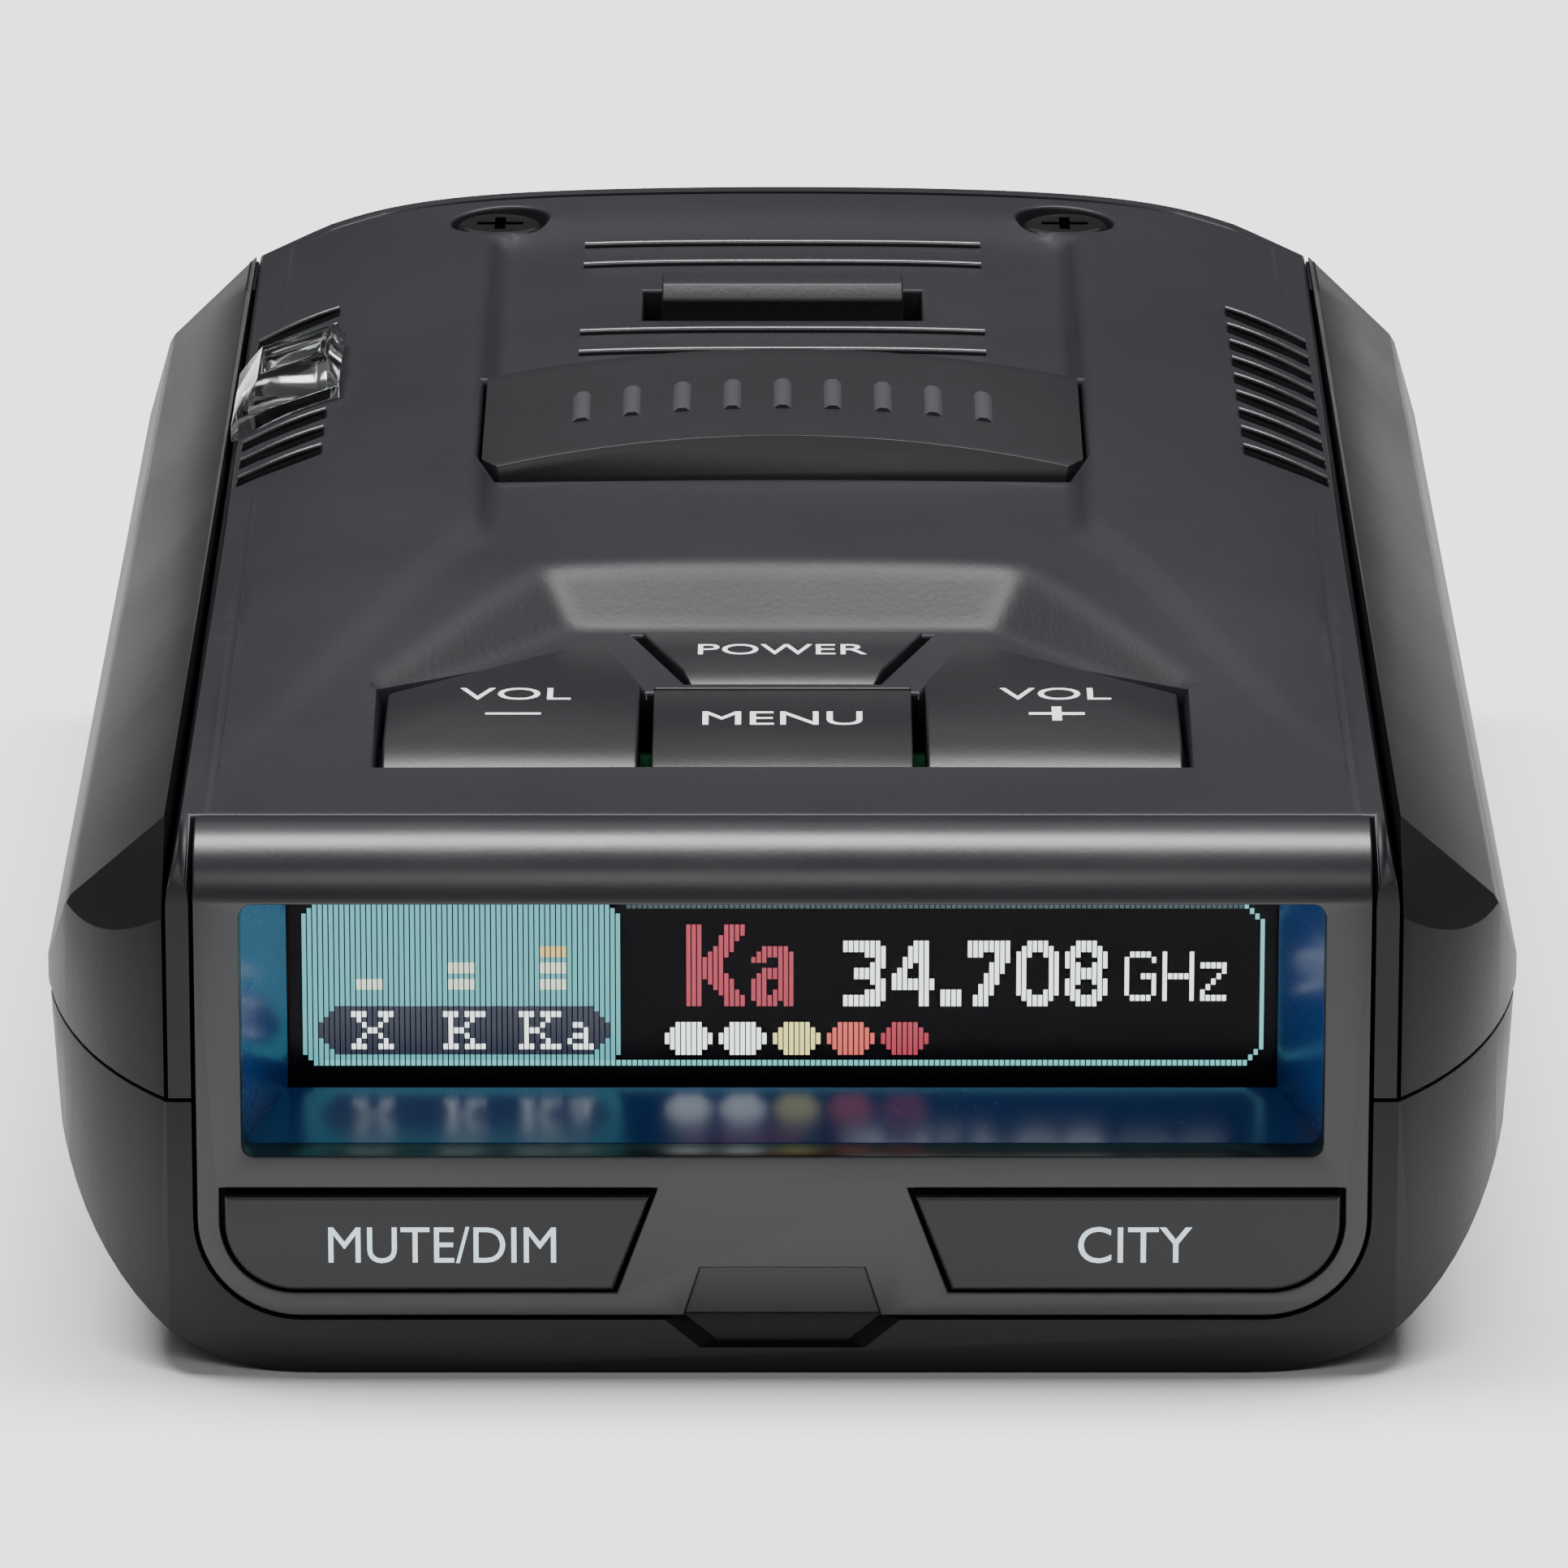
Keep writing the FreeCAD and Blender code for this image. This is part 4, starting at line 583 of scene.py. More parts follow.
@dataclass(frozen=True)
class Crown:
    """The rule for the deck's height: a low crown in the funnel, a high crown on the wings."""

    deck: float = 27.06
    seam_half: float = 29.6
    case_end: float = 108.0
    low_rise: float = 2.62
    low_rise_far: float = 0.8
    low_start: float = 8.0
    low_full: float = 40.0
    high_rise: float = 4.45
    high_start: float = 12.0
    high_drop: float = 0.26
    high_bow: float = 0.25
    channel_half: float = 15.3
    channel_flare: float = 0.8
    fan_apex: float = 72.7
    fan_tip_half: float = 0.7
    fan_slope: float = 0.52
    fan_flare: float = 1.6
    panel_end: float = 99.3
    panel_bevel: float = 3.7
    bevel_slope: float = 0.27
    corner_line: float = 113.8
    basin_depth: float = 0.11
    basin_front: float = 12.7
    basin_back: float = 35.1
    basin_back_half: float = 10.5
    basin_side: float = 19.9
    basin_side_back: float = 22.2
    basin_run: float = 1.28
    brow_depth: float = 4.15
    brow_drop: float = 3.06
    steep: float = 4.0
    fan_blend: float = 0.9
    basin_blend: float = 0.75
    basin_foot_blend: float = 0.16

    def low(self, x: Number, y: Number) -> Number:
        """Height of the funnel floor and the mount panel at a place, with x taken without its sign."""
        near = y.share(self.low_start, self.low_full)
        far = y.share(self.low_full, self.case_end)
        rise = near * near * (3.0 - near * 2.0) * self.low_rise
        rise = rise + far * far * (3.0 - far * 2.0) * self.low_rise_far
        return (1.0 - (x / self.seam_half) ** 3.0) * rise + self.deck

    def wings(self, x: Number, y: Number) -> Number:
        """Height of the high crown, cut away where the fan and the channel run."""
        across = x / self.seam_half
        rise = (1.0 - (1.0 - y.share(self.high_start, self.case_end)) ** 4.0) * self.high_rise
        fall = across ** 2.0 * self.high_bow + across ** 6.0 * (1.0 - self.high_bow)
        high = (1.0 - fall) * rise + (self.deck - self.high_drop)
        middle = self.deck + self.low_rise
        wall = (x - self.channel_half) / self.channel_flare + middle
        foot = middle + self.low_rise_far - 1.0
        ramp = (y - (self.panel_end - self.panel_bevel)) * self.bevel_slope + foot
        corner = (x + y - self.corner_line) / self.channel_flare + (middle + self.low_rise_far)
        fan = (x - self.fan_tip_half - (self.fan_apex - y) * self.fan_slope) / self.fan_flare + middle
        channel = wall.highest(ramp, self.fan_blend).highest(corner, self.fan_blend)
        return high.lowest(channel.lowest(fan, self.fan_blend), self.fan_blend)

    def basin(self, x: Number, y: Number) -> Number:
        """Height of the button well's floor and slopes."""
        floor = self.deck - self.basin_depth
        edge = Vector((self.basin_back - self.basin_side_back, self.basin_side - self.basin_back_half))
        edge.normalize()
        back = (y - self.basin_back) / self.basin_run + floor
        slant = (x - self.basin_side) * edge.x + (y - self.basin_side_back) * edge.y
        slant = slant / self.basin_run + floor
        side = (x - self.basin_side) * self.steep + floor
        front = (self.basin_front - y) * self.steep + floor
        slope = back.highest(slant, self.basin_blend)
        return slope.highest(side).highest(front).highest(floor, self.basin_foot_blend)

    def height(self, x: Number, y: Number) -> Number:
        """Height of the deck's outside at a place."""
        side = abs(x)
        crown = self.low(side, y).highest(self.wings(side, y), self.fan_blend)
        well = crown.lowest(self.basin(side, y), self.basin_blend)
        lean = (1.0 - y / self.brow_depth).highest(0.0)
        round_off = 1.0 - (1.0 - lean * lean).highest(0.0) ** 0.5
        return well - round_off * self.brow_drop


@dataclass(frozen=True)
class Window:
    """A convex hole through the deck, by its plan outline; a round one has many corners."""

    outline: tuple[Point, ...]

    def lines(self) -> list[tuple[float, float, float]]:
        """Each side as an outward normal and its distance from the origin."""
        found = []
        count = len(self.outline)
        sides = zip(self.outline, self.outline[1:] + self.outline[:1])
        turn = sum(a[0] * b[1] - b[0] * a[1] for a, b in sides)
        for index in range(count):
            (ax, ay), (bx, by) = self.outline[index], self.outline[(index + 1) % count]
            length = math.hypot(bx - ax, by - ay) * math.copysign(1.0, turn)
            nx, ny = (by - ay) / length, (ax - bx) / length
            found.append((nx, ny, nx * ax + ny * ay))
        return found

    def distance(self, places: np.ndarray) -> np.ndarray:
        """How far outside the window each place is, less than 0 inside it.

        Args:
            places: Plan places, one a row.

        Returns:
            The distances.
        """
        sides = [places[:, 0] * nx + places[:, 1] * ny - reach for nx, ny, reach in self.lines()]
        return np.max(sides, axis=0)

    def grown(self, gap: float) -> list[Point]:
        """The outline with each side moved outwards by a gap."""
        lines = self.lines()
        points = []
        for first, second in zip([lines[-1]] + lines[:-1], lines):
            across = first[0] * second[1] - second[0] * first[1]
            d0, d1 = first[2] + gap, second[2] + gap
            points.append(((d0 * second[1] - d1 * first[1]) / across,
                           (d1 * first[0] - d0 * second[0]) / across))
        return points


def rectangle(x0: float, x1: float, y0: float, y1: float) -> Window:
    """A rectangular window."""
    return Window(((x0, y0), (x1, y0), (x1, y1), (x0, y1)))


def disc(x: float, y: float, radius: float, sides: int = 40) -> Window:
    """A round window."""
    turns = [2.0 * math.pi * index / sides for index in range(sides)]
    return Window(tuple((x + radius * math.cos(turn), y + radius * math.sin(turn)) for turn in turns))


@dataclass
class Deck:
    """The top housing: its crowned sheet with rounded windows, its skirt, ribs and slot lips."""

    crown: Crown = field(default_factory=Crown)
    skirt_foot: float = 14.1
    skirt_wall: float = 1.8
    skirt_front: float = 0.6
    roof_flat: float = 25.26
    roof_crown: float = 28.2
    roof_start: float = 42.0
    edge_round: float = 0.22
    edge_steps: tuple[float, ...] = (0.0, 0.05, 0.12)
    seat_steps: tuple[float, ...] = (0.02, 0.07, 0.14)
    skirt_steps: tuple[float, ...] = (0.0, 0.03)
    volume_outline: tuple[Point, ...] = ((7.1, 12.2), (19.6, 12.2), (19.6, 22.2), (9.0, 31.6), (7.1, 24.0))
    power_outline: tuple[Point, ...] = ((-4.6, 26.5), (4.6, 26.5), (7.1, 34.2), (-7.1, 34.2))
    menu_outline: tuple[Point, ...] = ((-6.4, 12.2), (6.4, 12.2), (6.4, 24.3), (-6.4, 24.3))
    button_gap: float = 0.35
    fit_gap: float = 0.2
    grid: float = 0.5
    bezel_half: float = 28.3
    slot_first: float = 60.3
    slot_pitch: float = 3.36
    slot_count: int = 9
    slot_width: float = 1.15
    slot_inner: float = 24.36
    slot_outer: float = 28.8
    pipe_slots: tuple[int, ...] = (3, 4, 5)
    screw_x: float = 15.83
    screw_y: float = 101.95
    screw_head: float = 2.5
    screw_hole: float = 1.3
    screw_head_height: float = 1.6
    rib_half: float = 11.0
    rib_places: tuple[float, ...] = (76.45, 80.35, 93.65, 97.55)
    rib_width: float = 0.4
    rib_rise: float = 0.12
    plate_front: float = 53.75
    plate_depth: float = 15.55
    plate_half: float = 15.75
    plate_nip: float = 0.95
    plate_nip_run: float = 1.9
    latch_half: float = 6.58
    latch_front: float = 83.2
    latch_depth: float = 5.6
    latch_side_gap: float = 1.05
    pipe_hole: tuple[float, ...] = (-28.5, -24.1, 69.9, 79.0)
    lip_radius: float = 0.16
    lip_lift: float = 0.04
    lip_runs: tuple[tuple[int, int], ...] = ((0, 3), (6, 3))    # first slot and count, beside the pipe
    opening_half: float = 25.5
    opening_depth: float = 1.4
    opening_high: float = 23.8

    def windows(self) -> list[Window]:
        """The holes through the sheet."""
        mirrored = tuple((-x, y) for x, y in self.volume_outline)
        shapes = [self.volume_outline, mirrored, self.power_outline, self.menu_outline]
        found = [Window(tuple(Window(shape).grown(self.button_gap))) for shape in shapes]
        found.append(Window(tuple(self.plate_outline().grown(self.fit_gap))))
        latch = self.latch_half + self.latch_side_gap
        found.append(rectangle(-latch, latch, self.latch_front - self.fit_gap,
                               self.latch_front + self.latch_depth + self.fit_gap))
        for index in range(self.slot_count):
            y = self.slot_first + self.slot_pitch * index
            low, high = y - self.slot_width / 2.0, y + self.slot_width / 2.0
            found.append(rectangle(self.slot_inner, self.slot_outer, low, high))
            if index not in self.pipe_slots:
                found.append(rectangle(-self.slot_outer, -self.slot_inner, low, high))
        found.append(rectangle(*self.pipe_hole))
        for x in (-self.screw_x, self.screw_x):
            found.append(disc(x, self.screw_y, self.screw_hole, 24))
        return found

    def plate_outline(self) -> Window:
        """The release plate's outline, with its nipped front corners."""
        half, front, back = self.plate_half, self.plate_front, self.plate_front + self.plate_depth
        nipped, start = half - self.plate_nip, front + self.plate_nip_run
        return Window(((-nipped, front), (nipped, front), (half, start),
                       (half, back), (-half, back), (-half, start)))

    def seat_level(self) -> float:
        """Height of the seats under the deck screws' heads."""
        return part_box("deck_screws")[1].z / MM - self.screw_head_height

    def outline(self, inset: float) -> list[Point]:
        """Plan outline of the sheet, drawn in by an inset; its front is notched for the bezel."""
        half = self.crown.seam_half - inset
        notch = self.bezel_half + self.fit_gap + inset
        front = self.crown.brow_depth + self.fit_gap + inset
        back = self.crown.case_end - inset
        return [(-half, inset), (-notch, inset), (-notch, front), (notch, front),
                (notch, inset), (half, inset), (half, back), (-half, back)]

    def edge_distance(self, places: np.ndarray) -> np.ndarray:
        """How far inside the sheet's outline each place is."""
        x, y = np.abs(places[:, 0]), places[:, 1]
        notch = self.bezel_half + self.fit_gap
        front = self.crown.brow_depth + self.fit_gap
        inside = np.minimum(self.crown.seam_half - x, np.minimum(self.crown.case_end - y, y))
        return np.minimum(inside, np.maximum(x - notch, y - front))

    def rings(self, windows: list[Window]) -> list[list[Point]]:
        """Every closed line that the sheet's triangles have to follow."""
        steps = (*self.edge_steps, self.edge_round)
        lines = [self.outline(step) for step in steps]
        for window in windows:
            lines.extend(window.grown(step) for step in steps)
        for x in (-self.screw_x, self.screw_x):
            seat = disc(x, self.screw_y, self.screw_head + self.fit_gap)
            lines.append(list(seat.outline))
            lines.extend(seat.grown(step) for step in (*self.seat_steps, self.edge_round))
        inner = self.crown.seam_half - self.skirt_wall
        far = self.crown.case_end - self.skirt_wall
        for gap in self.skirt_steps:
            side, end = inner - gap, far - gap
            lines.append([(-side, self.skirt_front), (side, self.skirt_front), (side, end), (-side, end)])
        for gap in self.skirt_steps:
            half, deep = self.opening_half + gap, far + self.opening_depth
            lines.append([(-half, far), (half, far), (half, deep), (-half, deep)])
        return lines

    def scattered(self, windows: list[Window]) -> np.ndarray:
        """Grid points that stay clear of the rings."""
        half = int(self.crown.seam_half / self.grid)
        rows = int(self.crown.case_end / self.grid)
        columns = np.arange(-half, half + 1) * self.grid
        ys = np.arange(0, rows + 1) * self.grid
        places = np.array(np.meshgrid(columns, ys)).reshape(2, -1).T
        clear = self.edge_round + 0.12
        keep = self.edge_distance(places) > clear
        for window in windows:
            keep &= window.distance(places) > clear
        for x in (-self.screw_x, self.screw_x):
            seat = self.screw_head + self.fit_gap
            away = np.hypot(places[:, 0] - x, places[:, 1] - self.screw_y)
            keep &= (away > seat + clear) | (away < seat - 0.15)
        return places[keep]

    def flat_sheet(self) -> tuple[np.ndarray, list[tuple[int, int, int]], list[Window]]:
        """Triangles of the sheet in plan.

        Returns:
            The points, the triangles and the windows.
        """
        windows = self.windows()
        points: list[Vector] = []
        edges: list[tuple[int, int]] = []
        for ring in self.rings(windows):
            first = len(points)
            points.extend(Vector(place) for place in ring)
            edges.extend((first + index, first + (index + 1) % len(ring)) for index in range(len(ring)))
        points.extend(Vector(place) for place in self.scattered(windows))
        result = delaunay_2d_cdt(points, edges, [], 0, 1e-5)
        places = np.array([tuple(point) for point in result[0]])
        triangles = np.array([face for face in result[2] if len(face) == 3])
        middles = places[triangles].mean(axis=1)
        keep = self.edge_distance(middles) > 1e-4
        for window in windows:
            keep &= window.distance(middles) > -1e-4
        return places, [tuple(int(i) for i in face) for face in triangles[keep]], windows

    def round_off(self, places: np.ndarray, windows: list[Window]) -> np.ndarray:
        """How far each point lies below the rule because an edge is rounded there."""
        near = self.edge_distance(places)
        for window in windows:
            near = np.minimum(near, window.distance(places))
        for x in (-self.screw_x, self.screw_x):
            away = np.hypot(places[:, 0] - x, places[:, 1] - self.screw_y) - self.screw_head - self.fit_gap
            near = np.where(away > 0.01, np.minimum(near, away - 0.02), near)
        reach = np.clip(self.edge_round - near, 0.0, self.edge_round)
        return self.edge_round - np.sqrt(self.edge_round ** 2 - reach ** 2)

    def seat(self, places: np.ndarray) -> np.ndarray:
        """Fixed heights of the screw seats, 0 elsewhere."""
        level = np.zeros(len(places))
        for x in (-self.screw_x, self.screw_x):
            away = np.hypot(places[:, 0] - x, places[:, 1] - self.screw_y)
            level[away < self.screw_head + self.fit_gap + 0.005] = self.seat_level()
        return level

    def skirt(self, places: np.ndarray) -> np.ndarray:
        """Fixed heights of the skirt's lower edge, 0 under the roof."""
        x, y = np.abs(places[:, 0]), places[:, 1]
        far = self.crown.case_end - self.skirt_wall
        wall = (x > self.crown.seam_half - self.skirt_wall - 0.01) | (y > far - 0.01)
        level = np.where(wall, self.skirt_foot, 0.0)
        over = (y > far - 0.01) & (x < self.opening_half + 0.01)
        return np.where(over, self.opening_high, level)

    def flat_solid(self) -> bpy.types.Mesh:
        """A closed mesh in plan, whose points say where the rule has to put them."""
        places, triangles, windows = self.flat_sheet()
        used = sorted({index for face in triangles for index in face})
        order = {old: new for new, old in enumerate(used)}
        triangles = [tuple(order[index] for index in face) for face in triangles]
        places = places[used]
        count = len(places)
        lower = [(c + count, b + count, a + count) for a, b, c in triangles]
        sides = {}
        for a, b, c in triangles:
            for edge in ((a, b), (b, c), (c, a)):
                sides[edge] = True
        walls = [(b, a, a + count, b + count) for a, b in sides if (b, a) not in sides]
        mesh = bpy.data.meshes.new("deck_plan")
        flat = [(x * MM, frame_y(y), 0.0) for x, y in places]
        mesh.from_pydata(flat + flat, [], triangles + lower + walls)
        drop = np.concatenate([self.round_off(places, windows), np.zeros(count)])
        fixed = np.concatenate([self.seat(places), self.skirt(places)])
        under = np.concatenate([np.zeros(count), np.ones(count)])
        for name, values in (("drop", drop), ("fixed", fixed), ("under", under)):
            mesh.attributes.new(name, "FLOAT", "POINT").data.foreach_set("value", values.astype(np.float32))
        return mesh

    def roof(self, x: Number, y: Number) -> Number:
        """Height of the hollow's ceiling: flat over the buttons, arched behind them."""
        across = (abs(x) / (self.crown.seam_half - self.skirt_wall)).lowest(1.0)
        arch = (1.0 - across ** 3.0) * (self.roof_crown - self.roof_flat)
        return arch * y.share(self.roof_start, self.roof_start + 1.0) + self.roof_flat

    def rule_tree(self) -> bpy.types.NodeTree:
        """The tree that lifts the flat plan to the deck's shape."""
        tree = Geometry("crowned deck", {"Bezel Y": "NodeSocketFloat"})
        raw_x, raw_y, _ = tree.place()
        x, y = raw_x / MM, (raw_y - tree.value("Bezel Y")) / MM
        outside = self.crown.height(x, y) - tree.attribute("drop")
        under = tree.attribute("under")
        free = outside * (1.0 - under) + self.roof(x, y) * under
        fixed = tree.attribute("fixed")
        held = fixed.share(0.0, 1.0)
        height = (free * (1.0 - held) + fixed * held) * MM
        shape = tree.moved(tree.input["Geometry"], tree.vector(raw_x, raw_y, height))
        return tree.finish(shape, CASE)

    def build(self) -> None:
        """Makes the sheet, its ribs and the slot lips."""
        mesh = run_tree("deck", self.flat_solid(), self.rule_tree(), {"Bezel Y": BEZEL_Y})
        smooth(mesh, 38.0)
        new_piece("top_shell", mesh, "case", CASE, ("top_housing",))
        # The ribs and slot lips take the lightened rib plastic, whose colour is painted highlight.
        bars = Bars("surface bars", RIB_PAINTED_HIGHLIGHT, lambda x, y: self.crown.height(x, y))
        radius = self.rib_width / 2.0
        ribs = [bars.row((0.0, y + radius), (0.0, 0.0), 1, (self.rib_half, 0.0), radius, self.rib_rise)
                for y in self.rib_places]
        new_piece("panel_ribs", joined(ribs), "case", RIB_PAINTED_HIGHLIGHT)
        middle, half = (self.slot_inner + self.slot_outer) / 2.0, (self.slot_outer - self.slot_inner) / 2.0
        lip_y = self.slot_first + self.slot_width / 2.0 + self.lip_radius
        step, reach = (0.0, self.slot_pitch), (half, 0.0)
        rows = [bars.row((middle, lip_y), step, self.slot_count, reach, self.lip_radius, self.lip_lift)]
        for start, count in self.lip_runs:
            y = lip_y + self.slot_pitch * start
            rows.append(bars.row((-middle, y), step, count, reach, self.lip_radius, self.lip_lift))
        new_piece("slot_lips", joined(rows), "case", RIB_PAINTED_HIGHLIGHT)


def joined(meshes: list[bpy.types.Mesh]) -> bpy.types.Mesh:
    """One mesh from several."""
    build = bmesh.new()
    for mesh in meshes:
        build.from_mesh(mesh)
    result = bpy.data.meshes.new(meshes[0].name)
    build.to_mesh(result)
    build.free()
    smooth(result, 50.0)
    return result


BAR_POINTS = 16       # points along a bar
RING_POINTS = 10      # points round a bar


@dataclass
class Bars:
    """Rounded bars in even rows that follow a curved surface, made by one Geometry Nodes tree."""

    name: str
    finish: Finish
    height: Callable[[Number, Number], Number]
    tree: bpy.types.NodeTree = field(init=False)

    def __post_init__(self) -> None:
        """Builds the tree once."""
        vector, number = "NodeSocketVector", "NodeSocketFloat"
        kinds = {"First": vector, "Step": vector, "Count": "NodeSocketInt", "Reach": vector, "Radius": number,
                 "Lift": number, "Bezel Y": number}
        tree = Geometry(self.name, kinds)
        sockets = {"Count": tree.input["Count"], "Start Location": tree.input["First"],
                   "Offset": tree.input["Step"]}
        points = tree.add("GeometryNodeMeshLine", {"mode": "OFFSET"}, sockets).outputs[0]
        back = tree.add("ShaderNodeVectorMath", {"operation": "SCALE"},
                        {0: tree.input["Reach"], "Scale": -1.0}).outputs[0]
        line = tree.add("GeometryNodeCurvePrimitiveLine", sockets={"Start": back, "End": tree.input["Reach"]})
        sockets = {"Curve": line.outputs[0], "Count": BAR_POINTS}
        path = tree.add("GeometryNodeResampleCurve", sockets=sockets).outputs[0]
        ring = tree.add("GeometryNodeCurvePrimitiveCircle",
                        sockets={"Resolution": RING_POINTS, "Radius": tree.input["Radius"]})
        sockets = {"Curve": path, "Profile Curve": ring.outputs[0], "Fill Caps": True}
        bar = tree.add("GeometryNodeCurveToMesh", sockets=sockets).outputs[0]
        sockets = {"Points": points, "Instance": bar}
        copies = tree.add("GeometryNodeInstanceOnPoints", sockets=sockets).outputs[0]
        real = tree.add("GeometryNodeRealizeInstances", sockets={0: copies}).outputs[0]
        x, y, z = tree.place()
        surface = self.height(x / MM, (y - tree.value("Bezel Y")) / MM) * MM
        lifted = tree.moved(real, tree.vector(x, y, z + surface + tree.value("Lift")))
        self.tree = tree.finish(lifted, self.finish)

    def row(self, first: Point, step: Point, count: int, reach: Point, radius: float,
            lift: float) -> bpy.types.Mesh:
        """Makes one row.

        Args:
            first: Middle of the first bar.
            step: From one bar to the next.
            count: How many bars.
            reach: From a bar's middle to its end.
            radius: Half a bar's width.
            lift: How far the bar's middle is above the surface.

        Returns:
            The row's mesh.
        """
        inputs = {"First": (first[0] * MM, frame_y(first[1]), 0.0), "Step": (step[0] * MM, step[1] * MM, 0.0),
                  "Count": count, "Reach": (reach[0] * MM, reach[1] * MM, 0.0), "Radius": radius * MM,
                  "Lift": lift * MM, "Bezel Y": BEZEL_Y}
        return run_tree(self.name, bpy.data.meshes.new(self.name), self.tree, inputs)


# --- Release plate ---------------------------------------------------------------------------------

@dataclass
class GripBars:
    """Raised glossy bars on the release plate, where a thumb presses; their plastic is lighter than the
    plate's, a painted glint.
    """

    count: int = 9
    pitch: float = 2.65
    reach: float = 2.2
    radius: float = 0.62
    sink: float = 0.40
    from_front: float = 7.7
    arch_drop: float = 1.6
    rise: float = 0.7

    def build(self) -> None:
        """Makes the row."""
        low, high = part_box("release_plate")
        half, top = high.x / MM, high.z / MM
        bow = self.arch_drop / half ** 2
        front, back = (low.y - BEZEL_Y) / MM, (high.y - BEZEL_Y) / MM
        slope = self.rise / (back - front)
        bars = Bars("grip bars", GRIP_PAINTED_GLINT, lambda x, y: (y - back) * slope + top - x * x * bow)
        first_x = -self.pitch * (self.count - 1) / 2.0
        y = front + self.from_front
        step, reach = (self.pitch, 0.0), (0.0, self.reach)
        mesh = bars.row((first_x, y), step, self.count, reach, self.radius, -self.sink)
        smooth(mesh, 50.0)
        new_piece("grip_bars", mesh, "mount_release", GRIP_PAINTED_GLINT)


# --- Parts with eased edges ------------------------------------------------------------------------

@dataclass(frozen=True)
class Eased:
    """A CAD part whose edges are rounded as a mould leaves them."""

    node: str
    body: str
    slot: str
    finish: Finish
    radius: float = 0.15
    angle: float = 28.0
    segments: int = 3
    slices: int = 0           # cuts across the length that keep a long arch evenly shaded

    def build(self) -> None:
        """Makes the part from a merged copy of the node's mesh."""
        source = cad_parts[self.node]
        mesh = bpy.data.meshes.new_from_object(source)
        if "custom_normal" in mesh.attributes:
            mesh.attributes.remove(mesh.attributes["custom_normal"])
        work = bmesh.new()
        work.from_mesh(mesh)
        bmesh.ops.remove_doubles(work, verts=work.verts, dist=0.002 * MM)
        bmesh.ops.dissolve_limit(work, angle_limit=math.radians(0.4), verts=work.verts, edges=work.edges,
                                 delimit={"NORMAL"})
        low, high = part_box(self.node)
        for index in range(1, self.slices):
            place = low.lerp(high, index / self.slices)
            geometry = work.verts[:] + work.edges[:] + work.faces[:]
            bmesh.ops.bisect_plane(work, geom=geometry, plane_co=place, plane_no=(0.0, 1.0, 0.0))
        work.to_mesh(mesh)
        work.free()
        helper = bpy.data.objects.new(self.node + "_ease", mesh)
        bpy.context.scene.collection.objects.link(helper)
        bevel = helper.modifiers.new("ease", "BEVEL")
        bevel.width = self.radius * MM
        bevel.segments = self.segments
        bevel.limit_method = "ANGLE"
        bevel.angle_limit = math.radians(self.angle)
        bevel.use_clamp_overlap = True
        result = evaluated(helper)
        helper.modifiers.clear()
        bpy.data.objects.remove(helper)
        smooth(result, 40.0)
        new_piece(self.node + "_eased", result, self.body, self.finish, (self.node,))


EASED = (
    Eased("bottom_housing", "case", "case_plastic", CASE, 0.18),
    Eased("side_panel_right", "case", "panel_plastic", PANEL, 0.22),
    Eased("side_panel_left", "case", "panel_plastic", PANEL, 0.22),
    Eased("display_bezel", "case", "bezel_plastic", BEZEL, 0.16),
    Eased("menu_button", "menu_key", "button_plastic", KEYS, 0.12),
    Eased("power_button", "power_key", "button_plastic", KEYS, 0.14),
    Eased("volume_up_button", "volume_up_key", "button_plastic", KEYS, 0.32),
    Eased("volume_down_button", "volume_down_key", "button_plastic", KEYS, 0.32),
    Eased("city_button", "city_key", "button_plastic", KEYS, 0.10),
    Eased("mute_dim_button", "mute_dim_key", "button_plastic", KEYS, 0.10),
    Eased("release_plate", "mount_release", "plate_plastic", PLATE, 0.16, slices=14),
    Eased("mount_latch", "mount_release", "case_plastic", CASE, 0.14),
    Eased("rear_light_pipe", "case", "light_pipe_clear", PIPE, 0.10),
    Eased("antenna_window", "case", "radar_window", NOSE, 0.12),
)


# --- Carried-over parts ----------------------------------------------------------------------------

CARRIED: dict[str, Finish] = {
    "display_hood": TUNNEL, "display_lens": LENS, "display_panel": SCREEN, "display_flex_cable": FLEX,
    "top_button_board": Laminate(), "face_button_board": Laminate(), "main_board": Laminate(),
    "top_tact_switches": CHIP, "face_tact_switches": CHIP, "board_chips": CHIP, "release_springs": SPRING,
    "latch_retainer": FRAME_BLACK, "rf_shield_can": TIN, "gps_antenna": CERAMIC, "horn_antenna": CAST,
    "front_laser_lens": LASER, "front_laser_sensor": Laminate(), "rear_laser_sensor": Laminate(),
    "speaker_frame": FRAME_BLACK, "speaker_cone": PAPER, "speaker_magnet": MAGNET, "speaker_gasket": FOAM,
    "power_socket": SOCKET, "audio_socket": SOCKET, "usb_socket": TIN, "case_screws": SCREW,
    "deck_screws": DARK_SCREW, "underside_label": LABEL,
}


def dress_carried() -> None:
    """Gives the CAD nodes that stay their finishes."""
    for node, finish in CARRIED.items():
        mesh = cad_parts[node].data
        mesh.materials.clear()
        mesh.materials.append(finish.material())
        log.info("%s dressed in %s", node, finish.name)


# --- Legends ---------------------------------------------------------------------------------------

class Facing(Enum):
    """Which way a legend is read from."""

    UP = "up"
    FRONT = "front"


